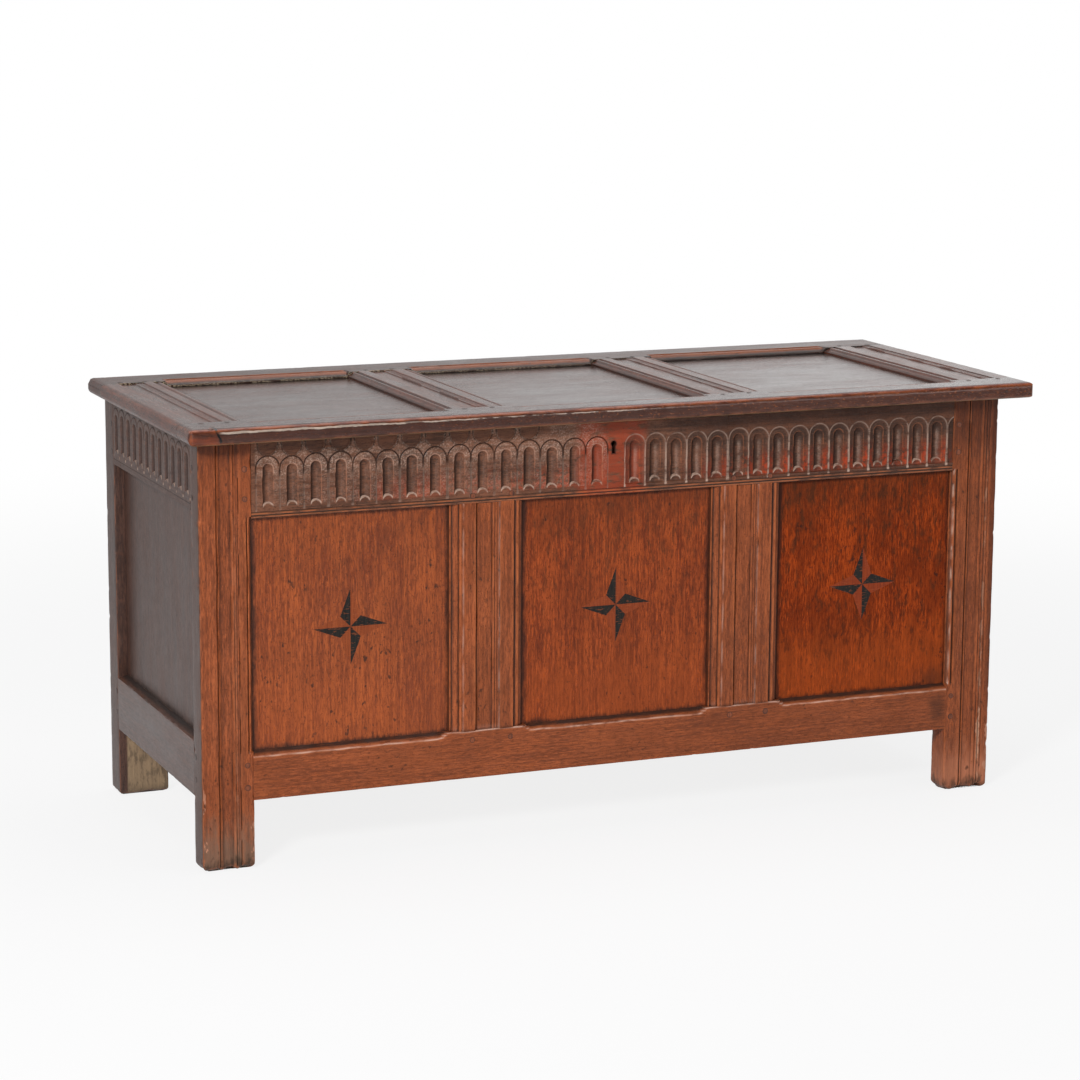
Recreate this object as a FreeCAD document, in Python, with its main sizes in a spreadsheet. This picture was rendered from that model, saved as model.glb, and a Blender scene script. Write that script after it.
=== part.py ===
import FreeCAD, Part
import math
import os
import Sketcher
from FreeCAD import Placement, Rotation, Vector

# A joined oak coffer: four frames of posts, rails and muntins round loose panels,
# and a framed lid on two snipe hinges. Millimetres, +Z up, front towards -Y,
# origin on the floor under the middle of the lid.

SIZES = [
    # carcass
    ("post_width", 80, "corner post, across the front"),
    ("front_post_depth", 40, "front post, front to back"),
    ("back_post_depth", 48, "back post, front to back"),
    ("muntin_width", 118, "upright between two front panels"),
    ("muntin_thickness", 27, "upright, front to back"),
    ("left_bay", 308, "left front panel, seen width"),
    ("middle_bay", 313, "middle front panel, seen width"),
    ("right_bay", 303, "right front panel, seen width"),
    ("carcass_depth", 506, "front face to back face"),
    ("carcass_height", 641.5, "floor to the top of the posts"),
    ("rail_thickness", 30, "all rails of the carcass"),
    ("front_clearance", 104, "floor to the front bottom rail"),
    ("front_bottom_height", 74, "front bottom rail"),
    ("front_top_height", 116, "front frieze rail"),
    ("side_clearance", 109, "floor to a side bottom rail"),
    ("side_bottom_height", 88, "side bottom rail"),
    ("side_top_height", 104, "side frieze rail"),
    ("back_clearance", 100, "floor to the back bottom rail"),
    ("back_bottom_height", 80, "back bottom rail"),
    ("back_top_height", 92, "back top rail"),
    # joinery
    ("front_recess", 10, "front face of the rails to the panel"),
    ("side_recess", 16, "side face of the rails to the panel"),
    ("back_recess", 10, "back face of the rails to the panel"),
    ("groove_width", 9, "panel groove, also the tenon thickness"),
    ("groove_depth", 10, "panel groove"),
    ("panel_slack", 0.15, "air on each face of a panel's edge in its groove"),
    ("panel_edge_gap", 1, "air between a panel's edge and the groove's floor"),
    ("tenon_length", 45, "front and back rails into the posts"),
    ("side_tenon_length", 26, "side rails into the posts"),
    ("muntin_tenon_length", 30, "muntins into the rails"),
    ("top_tenon_under", 2, "panel groove to the foot of a top rail's tenon"),
    ("top_tenon_over", 25, "haunch over a top rail's tenon"),
    ("side_tenon_over", 34, "haunch over a side top rail's tenon"),
    ("bottom_tenon_under", 12, "shoulder under a bottom rail's tenon"),
    ("bottom_tenon_over", 2, "panel groove to the top of a bottom rail's tenon"),
    ("muntin_near_shoulder", 28, "muntin edge to its tenon, left"),
    ("muntin_far_shoulder", 12, "muntin edge to its tenon, right"),
    ("peg_diameter", 8, "draw-bored oak peg"),
    ("peg_inset", 10, "joint line to a peg's centre"),
    ("top_peg_spacing", 44, "two pegs of a top rail's tenon"),
    ("bottom_peg_spacing", 34, "two pegs of a bottom rail's tenon"),
    ("muntin_peg_rise", 12, "top rail's lower edge to a muntin peg"),
    ("muntin_peg_drop", 15, "bottom rail's upper edge to a muntin peg"),
    ("muntin_peg_edge", 8, "tenon edge to a muntin peg"),
    # decoration worked in the frame
    ("front_splay", 8, "rise of the front bottom rail's sloping top arris"),
    ("side_splay", 4, "rise of a side bottom rail's sloping top arris"),
    ("post_channel_start", 26, "post edge to its sunk channel"),
    ("post_channel_width", 36, "sunk channel of a post"),
    ("muntin_channel_start", 42, "muntin edge to its sunk channel"),
    ("muntin_channel_width", 39, "sunk channel of a muntin"),
    ("channel_depth", 2.5, "sunk channels"),
    ("reed_band", 12, "part of a channel taken by its reeds"),
    ("reed_depth", 1.2, "reeds lie this far under the face"),
    ("post_mould", 11, "moulded arris of a front post beside its panel"),
    ("muntin_near_mould", 20, "moulded arris of a muntin, left"),
    ("muntin_far_mould", 16, "moulded arris of a muntin, right"),
    ("mould_depth", 7, "fall of a moulded arris"),
    ("flute_height", 64, "foot to crown of a scooped flute"),
    ("flute_width", 19, "scooped flute"),
    ("flute_depth", 3.5, "scooped flute"),
    ("front_flute_foot", 15, "front frieze's lower edge to the flutes"),
    ("side_flute_foot", 18, "side frieze's lower edge to the flutes"),
    ("left_flute_start", 6, "left post to the first flute's cell"),
    ("left_flute_run", 557.5, "all flutes left of the keyhole"),
    ("left_flute_count", 15, "flutes left of the keyhole"),
    ("key_block_width", 26, "plain block that holds the keyhole"),
    ("right_flute_run", 559, "all flutes right of the keyhole"),
    ("right_flute_count", 16, "flutes right of the keyhole"),
    ("side_flute_count", 12, "flutes on each side"),
    ("star_reach", 58, "centre to tip of an inlaid star"),
    ("star_waist", 16, "centre to an inner corner, along each axis"),
    ("star_depth", 2, "inlaid slivers"),
    ("star_rise", 0, "star centre above the middle of its panel"),
    # bottom
    ("floor_height", 124, "floor to the underside of the bottom boards"),
    ("board_thickness", 14, "bottom board"),
    ("board_tongue", 7, "bottom board into the rails' grooves"),
    ("board_edge_gap", 1, "air at the floor of a board's groove"),
    ("board_count", 5, "bottom boards, side by side"),
    ("board_gap", 0.3, "air between bottom boards and round the posts"),
    # lid
    ("lid_left_overhang", 23, "lid past the left side"),
    ("lid_right_overhang", 41, "lid past the right side"),
    ("lid_front_overhang", 40, "lid past the front"),
    ("lid_back_overhang", 12, "lid past the back"),
    ("lid_thickness", 24.5, "lid frame"),
    ("lid_gap", 0.3, "carcass top to the lid's underside"),
    ("lid_front_rail", 66, "front rail of the lid"),
    ("lid_back_rail", 74, "back rail of the lid"),
    ("lid_left_stile", 107, "left end of the lid"),
    ("lid_left_bay", 299, "left lid panel, seen width"),
    ("lid_muntin", 112, "cross rails of the lid"),
    ("lid_middle_bay", 313, "middle lid panel, seen width"),
    ("lid_right_bay", 320, "right lid panel, seen width"),
    ("lid_panel_drop", 10, "lid top to its panels"),
    ("lid_tenon_length", 38, "stiles and muntins into the lid's rails"),
    ("lid_tenon_shoulder", 22, "edge of a stile or muntin to its tenon"),
    ("lid_peg_inset", 9, "joint line to a lid peg's centre"),
    ("lid_peg_edge", 12, "tenon edge to a lid peg's centre"),
    ("lid_mould", 20, "moulded arrises round the lid's panels"),
    ("lid_mould_depth", 7, "fall of those arrises"),
    ("lid_channel_start", 34, "edge of a stile or muntin to its channel"),
    ("lid_channel_width", 40, "sunk channel of a stile or muntin"),
    ("nosing_radius", 9, "rounded edges of the lid"),
    # hinges
    ("left_hinge", 250, "left side to the left hinge"),
    ("right_hinge", 1100, "left side to the right hinge"),
    ("hinge_setback", 2.5, "back face to the hinge axis"),
    ("wire_diameter", 4.5, "iron wire of staples and eyes"),
    ("eye_play", 0.35, "air round the staple inside the eye"),
    ("staple_half_span", 9, "hinge middle to a leg of its staple"),
    ("wire_bend", 4, "radius of the staple's bends, at the wire's middle"),
    ("staple_slope", 35, "fall of a staple's legs, degrees"),
    ("clench_bite", 0.6, "how deep a staple's clenched ends sink in the wood"),
    ("clench_length", 12, "turned-over ends of the wire"),
    ("notch_air", 0.7, "air round the eye in its notch"),
    ("staple_notch", 2.4, "air round the staple in the lid's notch"),
    # lock
    ("lock_middle", 652, "left side to the keyhole"),
    ("key_height", 603, "floor to the round of the keyhole"),
    ("key_round", 8.4, "diameter of the keyhole's round"),
    ("key_slot", 5, "width of the keyhole's slot"),
    ("key_drop", 15, "centre of the round to the slot's foot"),
    ("plate_width", 120, "lock plate"),
    ("plate_height", 84, "lock plate"),
    ("plate_thickness", 2, "lock plate"),
    ("plate_top_gap", 1, "lock plate's top under the carcass top"),
    ("recess_width", 84, "hollow in the frieze rail for the lock's works"),
    ("recess_height", 62, "the same hollow"),
    ("recess_roof", 8, "wood over the hollow"),
    ("bolt_width", 3.8, "lock bolt, front to back"),
    ("bolt_height", 8, "lock bolt"),
    ("bolt_length", 44, "lock bolt"),
    ("bolt_travel", 16, "throw of the lock bolt"),
    ("bolt_drop", 6.5, "hollow's roof to the bolt's top"),
    ("bolt_start_gap", 2.3, "withdrawn bolt to the lid's lock staple"),
    ("guide_width", 8, "each guide of the bolt"),
    ("guide_wall", 1.8, "iron of a guide round the bolt"),
    ("guide_air", 0.3, "air round the bolt in its guides"),
    ("staple_offset", 19, "keyhole to the lid's lock staple"),
    ("staple_setback", 12, "rail's inner face to the lock staple's middle"),
    ("staple_air", 1.5, "air round the lock staple in the rail"),
    ("lock_wire", 3.5, "iron of the lock staple"),
    ("staple_leg_gap", 10, "between the middles of the staple's legs"),
    ("staple_drop", 30, "lid's underside to the staple's lowest point"),
    ("staple_plate_length", 48, "plate of the lock staple"),
    ("staple_plate_width", 15, "plate of the lock staple"),
    ("staple_plate_thickness", 2, "plate of the lock staple, let into the lid"),
    ("tack_diameter", 2.4, "tacks of the staple's plate"),
    ("tack_head", 5, "their countersunk heads"),
    ("tack_length", 10, "their length above the plate"),
    ("tack_inset", 6, "plate's end to a tack's centre"),
    ("tack_edge", 1, "plate's front edge to a tack's head"),
    ("nail_diameter", 3, "lock nails"),
    ("nail_head", 8, "head of a lock nail"),
    ("nail_head_height", 1.5, "head of a lock nail"),
    ("nail_length", 14, "lock nail under its head"),
    ("nail_inset", 9, "plate edge to a nail's centre"),
]

DOC = FreeCAD.newDocument("Coffer")
NODES = {}


# ---------------------------------------------------------------- sizes

class Length:
    """A length that is both an expression on the sheet and a number."""

    def __init__(self, text, value):
        self.text = text
        self.value = value

    @staticmethod
    def of(other):
        if isinstance(other, Length):
            return other
        return Length(f"({float(other)!r})", float(other))

    def mixed(self, sign, other, value):
        return Length(f"({self.text} {sign} {other.text})", value)

    def __add__(self, other):
        other = Length.of(other)
        return self.mixed("+", other, self.value + other.value)

    def __radd__(self, other):
        return Length.of(other) + self

    def __sub__(self, other):
        other = Length.of(other)
        return self.mixed("-", other, self.value - other.value)

    def __rsub__(self, other):
        return Length.of(other) - self

    def __mul__(self, other):
        other = Length.of(other)
        return self.mixed("*", other, self.value * other.value)

    def __rmul__(self, other):
        return Length.of(other) * self

    def __truediv__(self, other):
        other = Length.of(other)
        return self.mixed("/", other, self.value / other.value)

    def __neg__(self):
        return Length.of(0) - self


class Sizes:
    """Reads the table above as lengths bound to the sheet's cells."""


def fill_sheet():
    sheet = DOC.addObject("Spreadsheet::Sheet", "Sizes")
    sizes = Sizes()
    for row, (alias, value, meaning) in enumerate(SIZES, start=1):
        sheet.set(f"A{row}", meaning)
        sheet.set(f"B{row}", str(value))
        sheet.setAlias(f"B{row}", alias)
        setattr(sizes, alias, Length(f"Sizes.{alias}", float(value)))
    DOC.recompute()
    return sizes


S = fill_sheet()

CARCASS_LENGTH = 2 * S.post_width + 2 * S.muntin_width + S.left_bay + S.middle_bay + S.right_bay
LID_LENGTH = CARCASS_LENGTH + S.lid_left_overhang + S.lid_right_overhang
LID_DEPTH = S.carcass_depth + S.lid_front_overhang + S.lid_back_overhang
LID_LEFT = -LID_LENGTH / 2
LID_FRONT = -LID_DEPTH / 2
LEFT = LID_LEFT + S.lid_left_overhang
RIGHT = LEFT + CARCASS_LENGTH
FRONT = LID_FRONT + S.lid_front_overhang
BACK = FRONT + S.carcass_depth
LID_UNDER = S.carcass_height + S.lid_gap
LID_TOP = LID_UNDER + S.lid_thickness
ZERO = Length.of(0)


# ---------------------------------------------------------------- solids

def bind(thing, prop, length):
    thing.setExpression(prop, Length.of(length).text)


def put(thing, x, y, z, rotation=Rotation()):
    thing.Placement = Placement(Vector(0, 0, 0), rotation)
    for axis, length in (("x", x), ("y", y), ("z", z)):
        bind(thing, f"Placement.Base.{axis}", length)
    return thing


def block(name, low, high):
    """A box between two corners."""
    box = DOC.addObject("Part::Box", name)
    for prop, start, end in zip(("Length", "Width", "Height"), low, high):
        bind(box, prop, Length.of(end) - start)
    return put(box, *low)


def rod(name, foot, diameter, length, direction):
    """A cylinder from its foot along X, Y or Z."""
    turn = {"x": Rotation(Vector(0, 1, 0), 90), "y": Rotation(Vector(1, 0, 0), -90), "z": Rotation()}
    cylinder = DOC.addObject("Part::Cylinder", name)
    bind(cylinder, "Radius", Length.of(diameter) / 2)
    bind(cylinder, "Height", length)
    return put(cylinder, *foot, turn[direction])


def fuse(name, solids):
    if len(solids) == 1:
        return solids[0]
    joined = DOC.addObject("Part::MultiFuse", name)
    joined.Shapes = solids
    return joined


def cut(name, base, tools):
    result = DOC.addObject("Part::Cut", name)
    result.Base = base
    result.Tool = fuse(name + "_tools", tools)
    return result


def common(name, solids):
    result = DOC.addObject("Part::MultiCommon", name)
    result.Shapes = solids
    return result


def group(name, solids):
    result = DOC.addObject("Part::Compound", name)
    result.Links = solids
    return result


def node(label, thing):
    """Name a finished piece; its label is also its file's name."""
    thing.Label = label
    NODES[label] = thing
    return thing


def plane(body, role):
    return next(item for item in body.Origin.OriginFeatures if item.Role == role)


def new_sketch(body, name, role):
    sketch = body.newObject("Sketcher::SketchObject", name)
    sketch.AttachmentSupport = (plane(body, role), [""])
    sketch.MapMode = "FlatFace"
    return sketch


def pin_point(sketch, edge, end, axis, length):
    """Hold one end of an edge at a coordinate bound to the sheet."""
    if Length.of(length).value == 0:
        axis_line = {"DistanceX": -2, "DistanceY": -1}[axis]
        sketch.addConstraint(Sketcher.Constraint("PointOnObject", edge, end, axis_line))
        return
    index = sketch.addConstraint(Sketcher.Constraint(axis, -1, 1, edge, end, Length.of(length).value))
    bind(sketch, f"Constraints[{index}]", length)


def outline(body, name, role, points):
    """A closed sketch of straight lines through points given as lengths."""
    sketch = new_sketch(body, name, role)
    corners = [Vector(Length.of(across).value, Length.of(up).value, 0) for across, up in points]
    count = len(corners)
    for index in range(count):
        sketch.addGeometry(Part.LineSegment(corners[index], corners[(index + 1) % count]), False)
    for index in range(count):
        sketch.addConstraint(Sketcher.Constraint("Coincident", index, 2, (index + 1) % count, 1))
    for index, (across, up) in enumerate(points):
        pin_point(sketch, index, 1, "DistanceX", across)
        pin_point(sketch, index, 1, "DistanceY", up)
    return sketch


PLANES = {"x": ("YZ_Plane", False), "y": ("XZ_Plane", True), "z": ("XY_Plane", False)}


def prism(name, points, length, direction):
    """A body padded from a section: (y, z) along X, (x, z) along Y, (x, y) along Z."""
    role, reverse = PLANES[direction]
    body = DOC.addObject("PartDesign::Body", name)
    sketch = outline(body, name + "_section", role, points)
    pad = body.newObject("PartDesign::Pad", name + "_pad")
    pad.Profile = sketch
    bind(pad, "Length", length)
    pad.Reversed = reverse
    body.Tip = pad
    return body


class Side:
    """One upright frame of the carcass, walked round with its inside on the left hand.

    u runs along the frame, w inwards from its outer face, and z is up.
    """

    def __init__(self, name, corner_x, corner_y, turn, span):
        self.name = name
        self.corner_x = corner_x
        self.corner_y = corner_y
        self.turn = turn
        self.span = span

    def spot(self, u, w):
        x, y = self.corner_x, self.corner_y
        return {0: (x + u, y + w), 90: (x - w, y + u), 180: (x - u, y - w), 270: (x + w, y - u)}[self.turn]

    def spin(self):
        return Rotation(Vector(0, 0, 1), self.turn)

    def put(self, thing, u, w, z, rotation=Rotation()):
        x, y = self.spot(Length.of(u), Length.of(w))
        return put(thing, x, y, z, self.spin() * rotation)

    def block(self, name, low, high):
        box = DOC.addObject("Part::Box", name)
        for prop, start, end in zip(("Length", "Width", "Height"), low, high):
            bind(box, prop, Length.of(end) - start)
        return self.put(box, *low)

    def peg(self, name, u, z):
        """A peg driven from the outer face, as deep as the rails are thick."""
        cylinder = DOC.addObject("Part::Cylinder", name)
        bind(cylinder, "Radius", S.peg_diameter / 2)
        bind(cylinder, "Height", S.rail_thickness)
        return self.put(cylinder, u, 0, z, Rotation(Vector(1, 0, 0), -90))


FRONT_SIDE = Side("front", LEFT, FRONT, 0, CARCASS_LENGTH)
RIGHT_SIDE = Side("right", RIGHT, FRONT, 90, S.carcass_depth)
BACK_SIDE = Side("back", RIGHT, BACK, 180, CARCASS_LENGTH)
LEFT_SIDE = Side("left", LEFT, BACK, 270, S.carcass_depth)


# ---------------------------------------------------------------- worked edges

def arris_mould(name, width, depth, length, edge_at_left):
    """A cutter for a moulded arris along Z: a quirk at the face, then a hollow down to the edge.

    Its section lies in (x, y), with the face at y = 0.
    """
    profile = [(0, 0), (1, 0), (0.86, 0.3), (0.35, 0.45), (0, 1)]
    if edge_at_left:
        points = [(width * across, depth * down) for across, down in profile]
    else:
        points = [(width * (1 - across), depth * down) for across, down in profile]
    return prism(name, points, length, "z")


def channel(side, name, start, width, low, high):
    """A sunk channel along an upright, with a higher band of reeds at its right."""
    reeds = start + width - S.reed_band
    floor = side.block(name + "_floor", (start, 0, low), (reeds, S.channel_depth, high))
    band = side.block(name + "_band", (reeds, 0, low), (start + width, S.reed_depth, high))
    return [floor, band]


def flute_pocket(body, sketch_name, start, pitch, foot):
    """The sketch of one scooped flute: straight sides and a round crown."""
    sketch = new_sketch(body, sketch_name, "XZ_Plane")
    left = (start + (pitch - S.flute_width) / 2).value
    right = left + S.flute_width.value
    low = Length.of(foot).value
    spring = low + (S.flute_height - S.flute_width / 2).value
    middle = (left + right) / 2
    radius = S.flute_width.value / 2
    sketch.addGeometry(Part.LineSegment(Vector(left, low, 0), Vector(right, low, 0)), False)
    sketch.addGeometry(Part.LineSegment(Vector(right, low, 0), Vector(right, spring, 0)), False)
    circle = Part.Circle(Vector(middle, spring, 0), Vector(0, 0, 1), radius)
    sketch.addGeometry(Part.ArcOfCircle(circle, 0, math.pi), False)
    sketch.addGeometry(Part.LineSegment(Vector(left, spring, 0), Vector(left, low, 0)), False)
    for first, first_end, second, second_end in ((0, 2, 1, 1), (3, 2, 0, 1)):
        sketch.addConstraint(Sketcher.Constraint("Coincident", first, first_end, second, second_end))
    sketch.addConstraint(Sketcher.Constraint("Tangent", 1, 2, 2, 1))
    sketch.addConstraint(Sketcher.Constraint("Tangent", 2, 2, 3, 1))
    sketch.addConstraint(Sketcher.Constraint("Horizontal", 0))
    sketch.addConstraint(Sketcher.Constraint("Vertical", 1))
    sketch.addConstraint(Sketcher.Constraint("Vertical", 3))
    pin_point(sketch, 0, 1, "DistanceX", start + (pitch - S.flute_width) / 2)
    pin_point(sketch, 0, 1, "DistanceY", foot)
    pin_point(sketch, 0, 2, "DistanceX", start + (pitch + S.flute_width) / 2)
    pin_point(sketch, 2, 3, "DistanceY", foot + S.flute_height - S.flute_width / 2)
    return sketch


def fluted_rail(name, side, start_u, length, low, height, foot, runs):
    """A frieze rail with rows of scooped flutes; each run is (start, length, count)."""
    body = DOC.addObject("PartDesign::Body", name)
    section = [(0, 0), (length, 0), (length, height), (0, height)]
    face = outline(body, name + "_face", "XZ_Plane", section)
    pad = body.newObject("PartDesign::Pad", name + "_pad")
    pad.Profile = face
    bind(pad, "Length", S.rail_thickness)
    pad.Reversed = True
    body.Tip = pad
    for index, (start, run, count) in enumerate(runs):
        pitch = run / count
        sketch = flute_pocket(body, f"{name}_flute_{index}", start, pitch, foot)
        pocket = body.newObject("PartDesign::Pocket", f"{name}_scoop_{index}")
        pocket.Profile = sketch
        bind(pocket, "Length", S.flute_depth)
        row = body.newObject("PartDesign::LinearPattern", f"{name}_row_{index}")
        row.Originals = [pocket]
        row.Direction = (sketch, ["H_Axis"])
        bind(row, "Length", pitch * (count - 1))
        bind(row, "Occurrences", count)
        body.Tip = row
    return side.put(body, start_u, 0, low)


# ---------------------------------------------------------------- one frame of the carcass

class Frame:
    """Two rails, the muntins between them and the panels of one side."""

    def __init__(self, side, first_post, last_post, bays, recess, tenon_length):
        self.side = side
        self.recess = recess
        self.tenon_length = tenon_length
        self.start = first_post
        self.end = side.span - last_post
        self.bays = []
        self.muntins = []
        place = Length.of(first_post)
        for index, bay in enumerate(bays):
            if index:
                self.muntins.append((place, place + S.muntin_width))
                place = place + S.muntin_width
            bay_end = self.end if index == len(bays) - 1 else place + bay
            self.bays.append((place, bay_end))
            place = bay_end
        self.tongue = (recess, recess + S.groove_width)
        self.pegs = []
        self.tenons = {"first": [], "last": []}
        self.post_pegs = {"first": [], "last": []}

    def rail_ends(self, name, low, high, under, over, spacing):
        """Both tenons of a rail and their pegs; returns the solids of the tenons and pegs."""
        near, far = self.tongue
        tenon_low, tenon_high = low + under, high - over
        reach = self.tenon_length
        spans = {"first": (self.start - reach, self.start), "last": (self.end, self.end + reach)}
        pegs_at = {"first": self.start - S.peg_inset, "last": self.end + S.peg_inset}
        middle = (tenon_low + tenon_high) / 2
        tenons, pegs = [], []
        for end, (begin, finish) in spans.items():
            solid = self.side.block(f"{name}_{end}_tenon", (begin, near, tenon_low),
                                    (finish, far, tenon_high))
            tenons.append(solid)
            self.tenons[end].append(solid)
            for step in (-0.5, 0.5):
                peg = self.side.peg(f"{name}_{end}_peg_{'low' if step < 0 else 'high'}",
                                    pegs_at[end], middle + step * spacing)
                pegs.append(peg)
                self.post_pegs[end].append(peg)
        self.pegs += pegs
        return tenons, pegs

    def muntin_tenons(self, name, low, high):
        """The tenons of every muntin at one rail, with their pegs between low and high."""
        near, far = self.tongue
        tenons = []
        for index, (begin, finish) in enumerate(self.muntins):
            begin = begin + S.muntin_near_shoulder
            finish = finish - S.muntin_far_shoulder
            tenons.append(self.side.block(f"{name}_muntin_tenon_{index}", (begin, near, low),
                                          (finish, far, high)))
        return tenons

    def muntin_pegs(self, name, height):
        pegs = []
        for index, (begin, finish) in enumerate(self.muntins):
            left = begin + S.muntin_near_shoulder + S.muntin_peg_edge
            right = finish - S.muntin_far_shoulder - S.muntin_peg_edge
            pair = [self.side.peg(f"{name}_muntin_peg_{index}_{end}", u, height)
                    for end, u in (("a", left), ("b", right))]
            pegs.append(pair)
            self.pegs += pair
        return pegs

    def panel_groove(self, name, low, high):
        near, far = self.tongue
        return self.side.block(name, (self.start, near, low), (self.end, far, high))

    def post_groove(self, end, low, high):
        """The groove in a post's inner edge for the neighbouring panel."""
        near, far = self.tongue
        begin, finish = {"first": (self.start - S.groove_depth, self.start),
                         "last": (self.end, self.end + S.groove_depth)}[end]
        return self.side.block(f"{self.side.name}_{end}_post_groove", (begin, near, low), (finish, far, high))

    def panel(self, name, bay, low, high):
        near, far = self.tongue
        reach = S.groove_depth - S.panel_edge_gap
        return self.side.block(name, (bay[0] - reach, near + S.panel_slack, low - reach),
                               (bay[1] + reach, far - S.panel_slack, high + reach))


def board_groove(side, name, start, end):
    """The groove for the bottom boards in a bottom rail's inner face."""
    depth = S.board_tongue + S.board_edge_gap
    return side.block(name, (start, S.rail_thickness - depth, S.floor_height),
                      (end, S.rail_thickness, S.floor_height + S.board_thickness))


def splay(side, name, start, length, low, recess, rise):
    """The sloping top arris of a bottom rail, from its face back to the panel."""
    body = prism(name, [(0, 0), (recess, rise), (0, rise)], length, "x")
    return side.put(body, start, 0, low)


def full_frame(frame, names, low, bottom_height, top_height, over, edge_rise, fluting):
    """Build the rails, muntins and pegs of a side, and return them with the opening's heights."""
    side = frame.side
    key = side.name
    bottom_top = low + bottom_height
    top_low = S.carcass_height - top_height
    length = frame.end - frame.start
    bottom_tenons, bottom_pegs = frame.rail_ends(
        f"{key}_bottom", low, bottom_top, S.bottom_tenon_under, S.groove_depth + S.bottom_tenon_over,
        S.bottom_peg_spacing)
    top_tenons, top_pegs = frame.rail_ends(
        f"{key}_top", top_low, S.carcass_height, S.groove_depth + S.top_tenon_under, over, S.top_peg_spacing)
    deep = S.muntin_tenon_length
    foot_tenons = frame.muntin_tenons(f"{key}_foot", bottom_top - deep, bottom_top)
    head_tenons = frame.muntin_tenons(f"{key}_head", top_low, top_low + deep)
    foot_pegs = frame.muntin_pegs(f"{key}_foot", bottom_top - S.muntin_peg_drop)
    head_pegs = frame.muntin_pegs(f"{key}_head", top_low + S.muntin_peg_rise)

    bottom_stock = side.block(f"{key}_bottom_stock", (frame.start, 0, low),
                              (frame.end, S.rail_thickness, bottom_top))
    bottom_cuts = [frame.panel_groove(f"{key}_bottom_groove", bottom_top - S.groove_depth, bottom_top),
                   board_groove(side, f"{key}_board_groove", frame.start, frame.end)]
    bottom_cuts += foot_tenons + bottom_pegs + sum(foot_pegs, [])
    if edge_rise is not None:
        bottom_cuts.append(splay(side, f"{key}_splay", frame.start, length, bottom_top - edge_rise,
                                 frame.recess, edge_rise))
    bottom_whole = fuse(f"{key}_bottom_whole", [bottom_stock] + bottom_tenons)
    bottom_rail = cut(f"{key}_bottom_cut", bottom_whole, bottom_cuts)
    node(names["bottom"], bottom_rail)

    if fluting is None:
        top_stock = side.block(f"{key}_top_stock", (frame.start, 0, top_low),
                               (frame.end, S.rail_thickness, S.carcass_height))
    else:
        foot, runs = fluting
        top_stock = fluted_rail(f"{key}_top_stock", side, frame.start, length, top_low, top_height,
                                foot, runs)
    top_cuts = [frame.panel_groove(f"{key}_top_groove", top_low, top_low + S.groove_depth)]
    top_cuts += head_tenons + top_pegs + sum(head_pegs, [])
    top_whole = fuse(f"{key}_top_whole", [top_stock] + top_tenons)

    for index, (begin, finish) in enumerate(frame.muntins):
        stock_low = bottom_top if edge_rise is None else bottom_top - edge_rise
        stock = side.block(f"{key}_muntin_stock_{index}", (begin, 0, stock_low),
                           (finish, S.muntin_thickness, top_low))
        whole = fuse(f"{key}_muntin_whole_{index}", [stock, foot_tenons[index], head_tenons[index]])
        near, far = frame.tongue
        cuts = [side.block(f"{key}_muntin_groove_{index}_a", (begin, near, stock_low),
                           (begin + S.groove_depth, far, top_low)),
                side.block(f"{key}_muntin_groove_{index}_b", (finish - S.groove_depth, near, stock_low),
                           (finish, far, top_low)),
                bottom_rail]
        cuts += foot_pegs[index] + head_pegs[index]
        if edge_rise is not None:
            cuts += channel(side, f"{key}_muntin_channel_{index}", begin + S.muntin_channel_start,
                            S.muntin_channel_width, stock_low, top_low)
            cuts += muntin_moulds(side, f"{key}_muntin_{index}", begin, finish, stock_low, top_low)
        node(names["muntins"][index], cut(f"{key}_muntin_cut_{index}", whole, cuts))
    return bottom_top, top_low, top_whole, top_cuts


def muntin_moulds(side, name, begin, finish, low, high):
    """The moulded arrises along both edges of a muntin."""
    near = arris_mould(f"{name}_near_mould", S.muntin_near_mould, S.mould_depth, high - low, True)
    side.put(near, begin, 0, low)
    far = arris_mould(f"{name}_far_mould", S.muntin_far_mould, S.mould_depth, high - low, False)
    side.put(far, finish - S.muntin_far_mould, 0, low)
    return [near, far]


# ---------------------------------------------------------------- carcass

def star_slivers(middle_x, front_y, middle_z, shade):
    """Four slivers of one shade of a four-pointed star, let into a panel's face."""
    reach, waist, depth = S.star_reach.value, S.star_waist.value, S.star_depth.value
    centre = Vector(middle_x.value, front_y.value, middle_z.value)
    slivers = []
    for quarter in range(4):
        angle = quarter * math.pi / 2
        sign = 1 if shade == "light" else -1
        tip = Vector(math.sin(angle), 0, math.cos(angle)) * reach
        corner_angle = angle + sign * math.pi / 4
        corner = Vector(math.sin(corner_angle), 0, math.cos(corner_angle)) * (waist * math.sqrt(2))
        ring = Part.makePolygon([centre, centre + tip, centre + corner, centre])
        slivers.append(Part.Face(ring).extrude(Vector(0, depth, 0)))
    return Part.makeCompound(slivers)


def solid_feature(name, shape):
    feature = DOC.addObject("Part::Feature", name)
    feature.Shape = shape
    return feature


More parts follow.
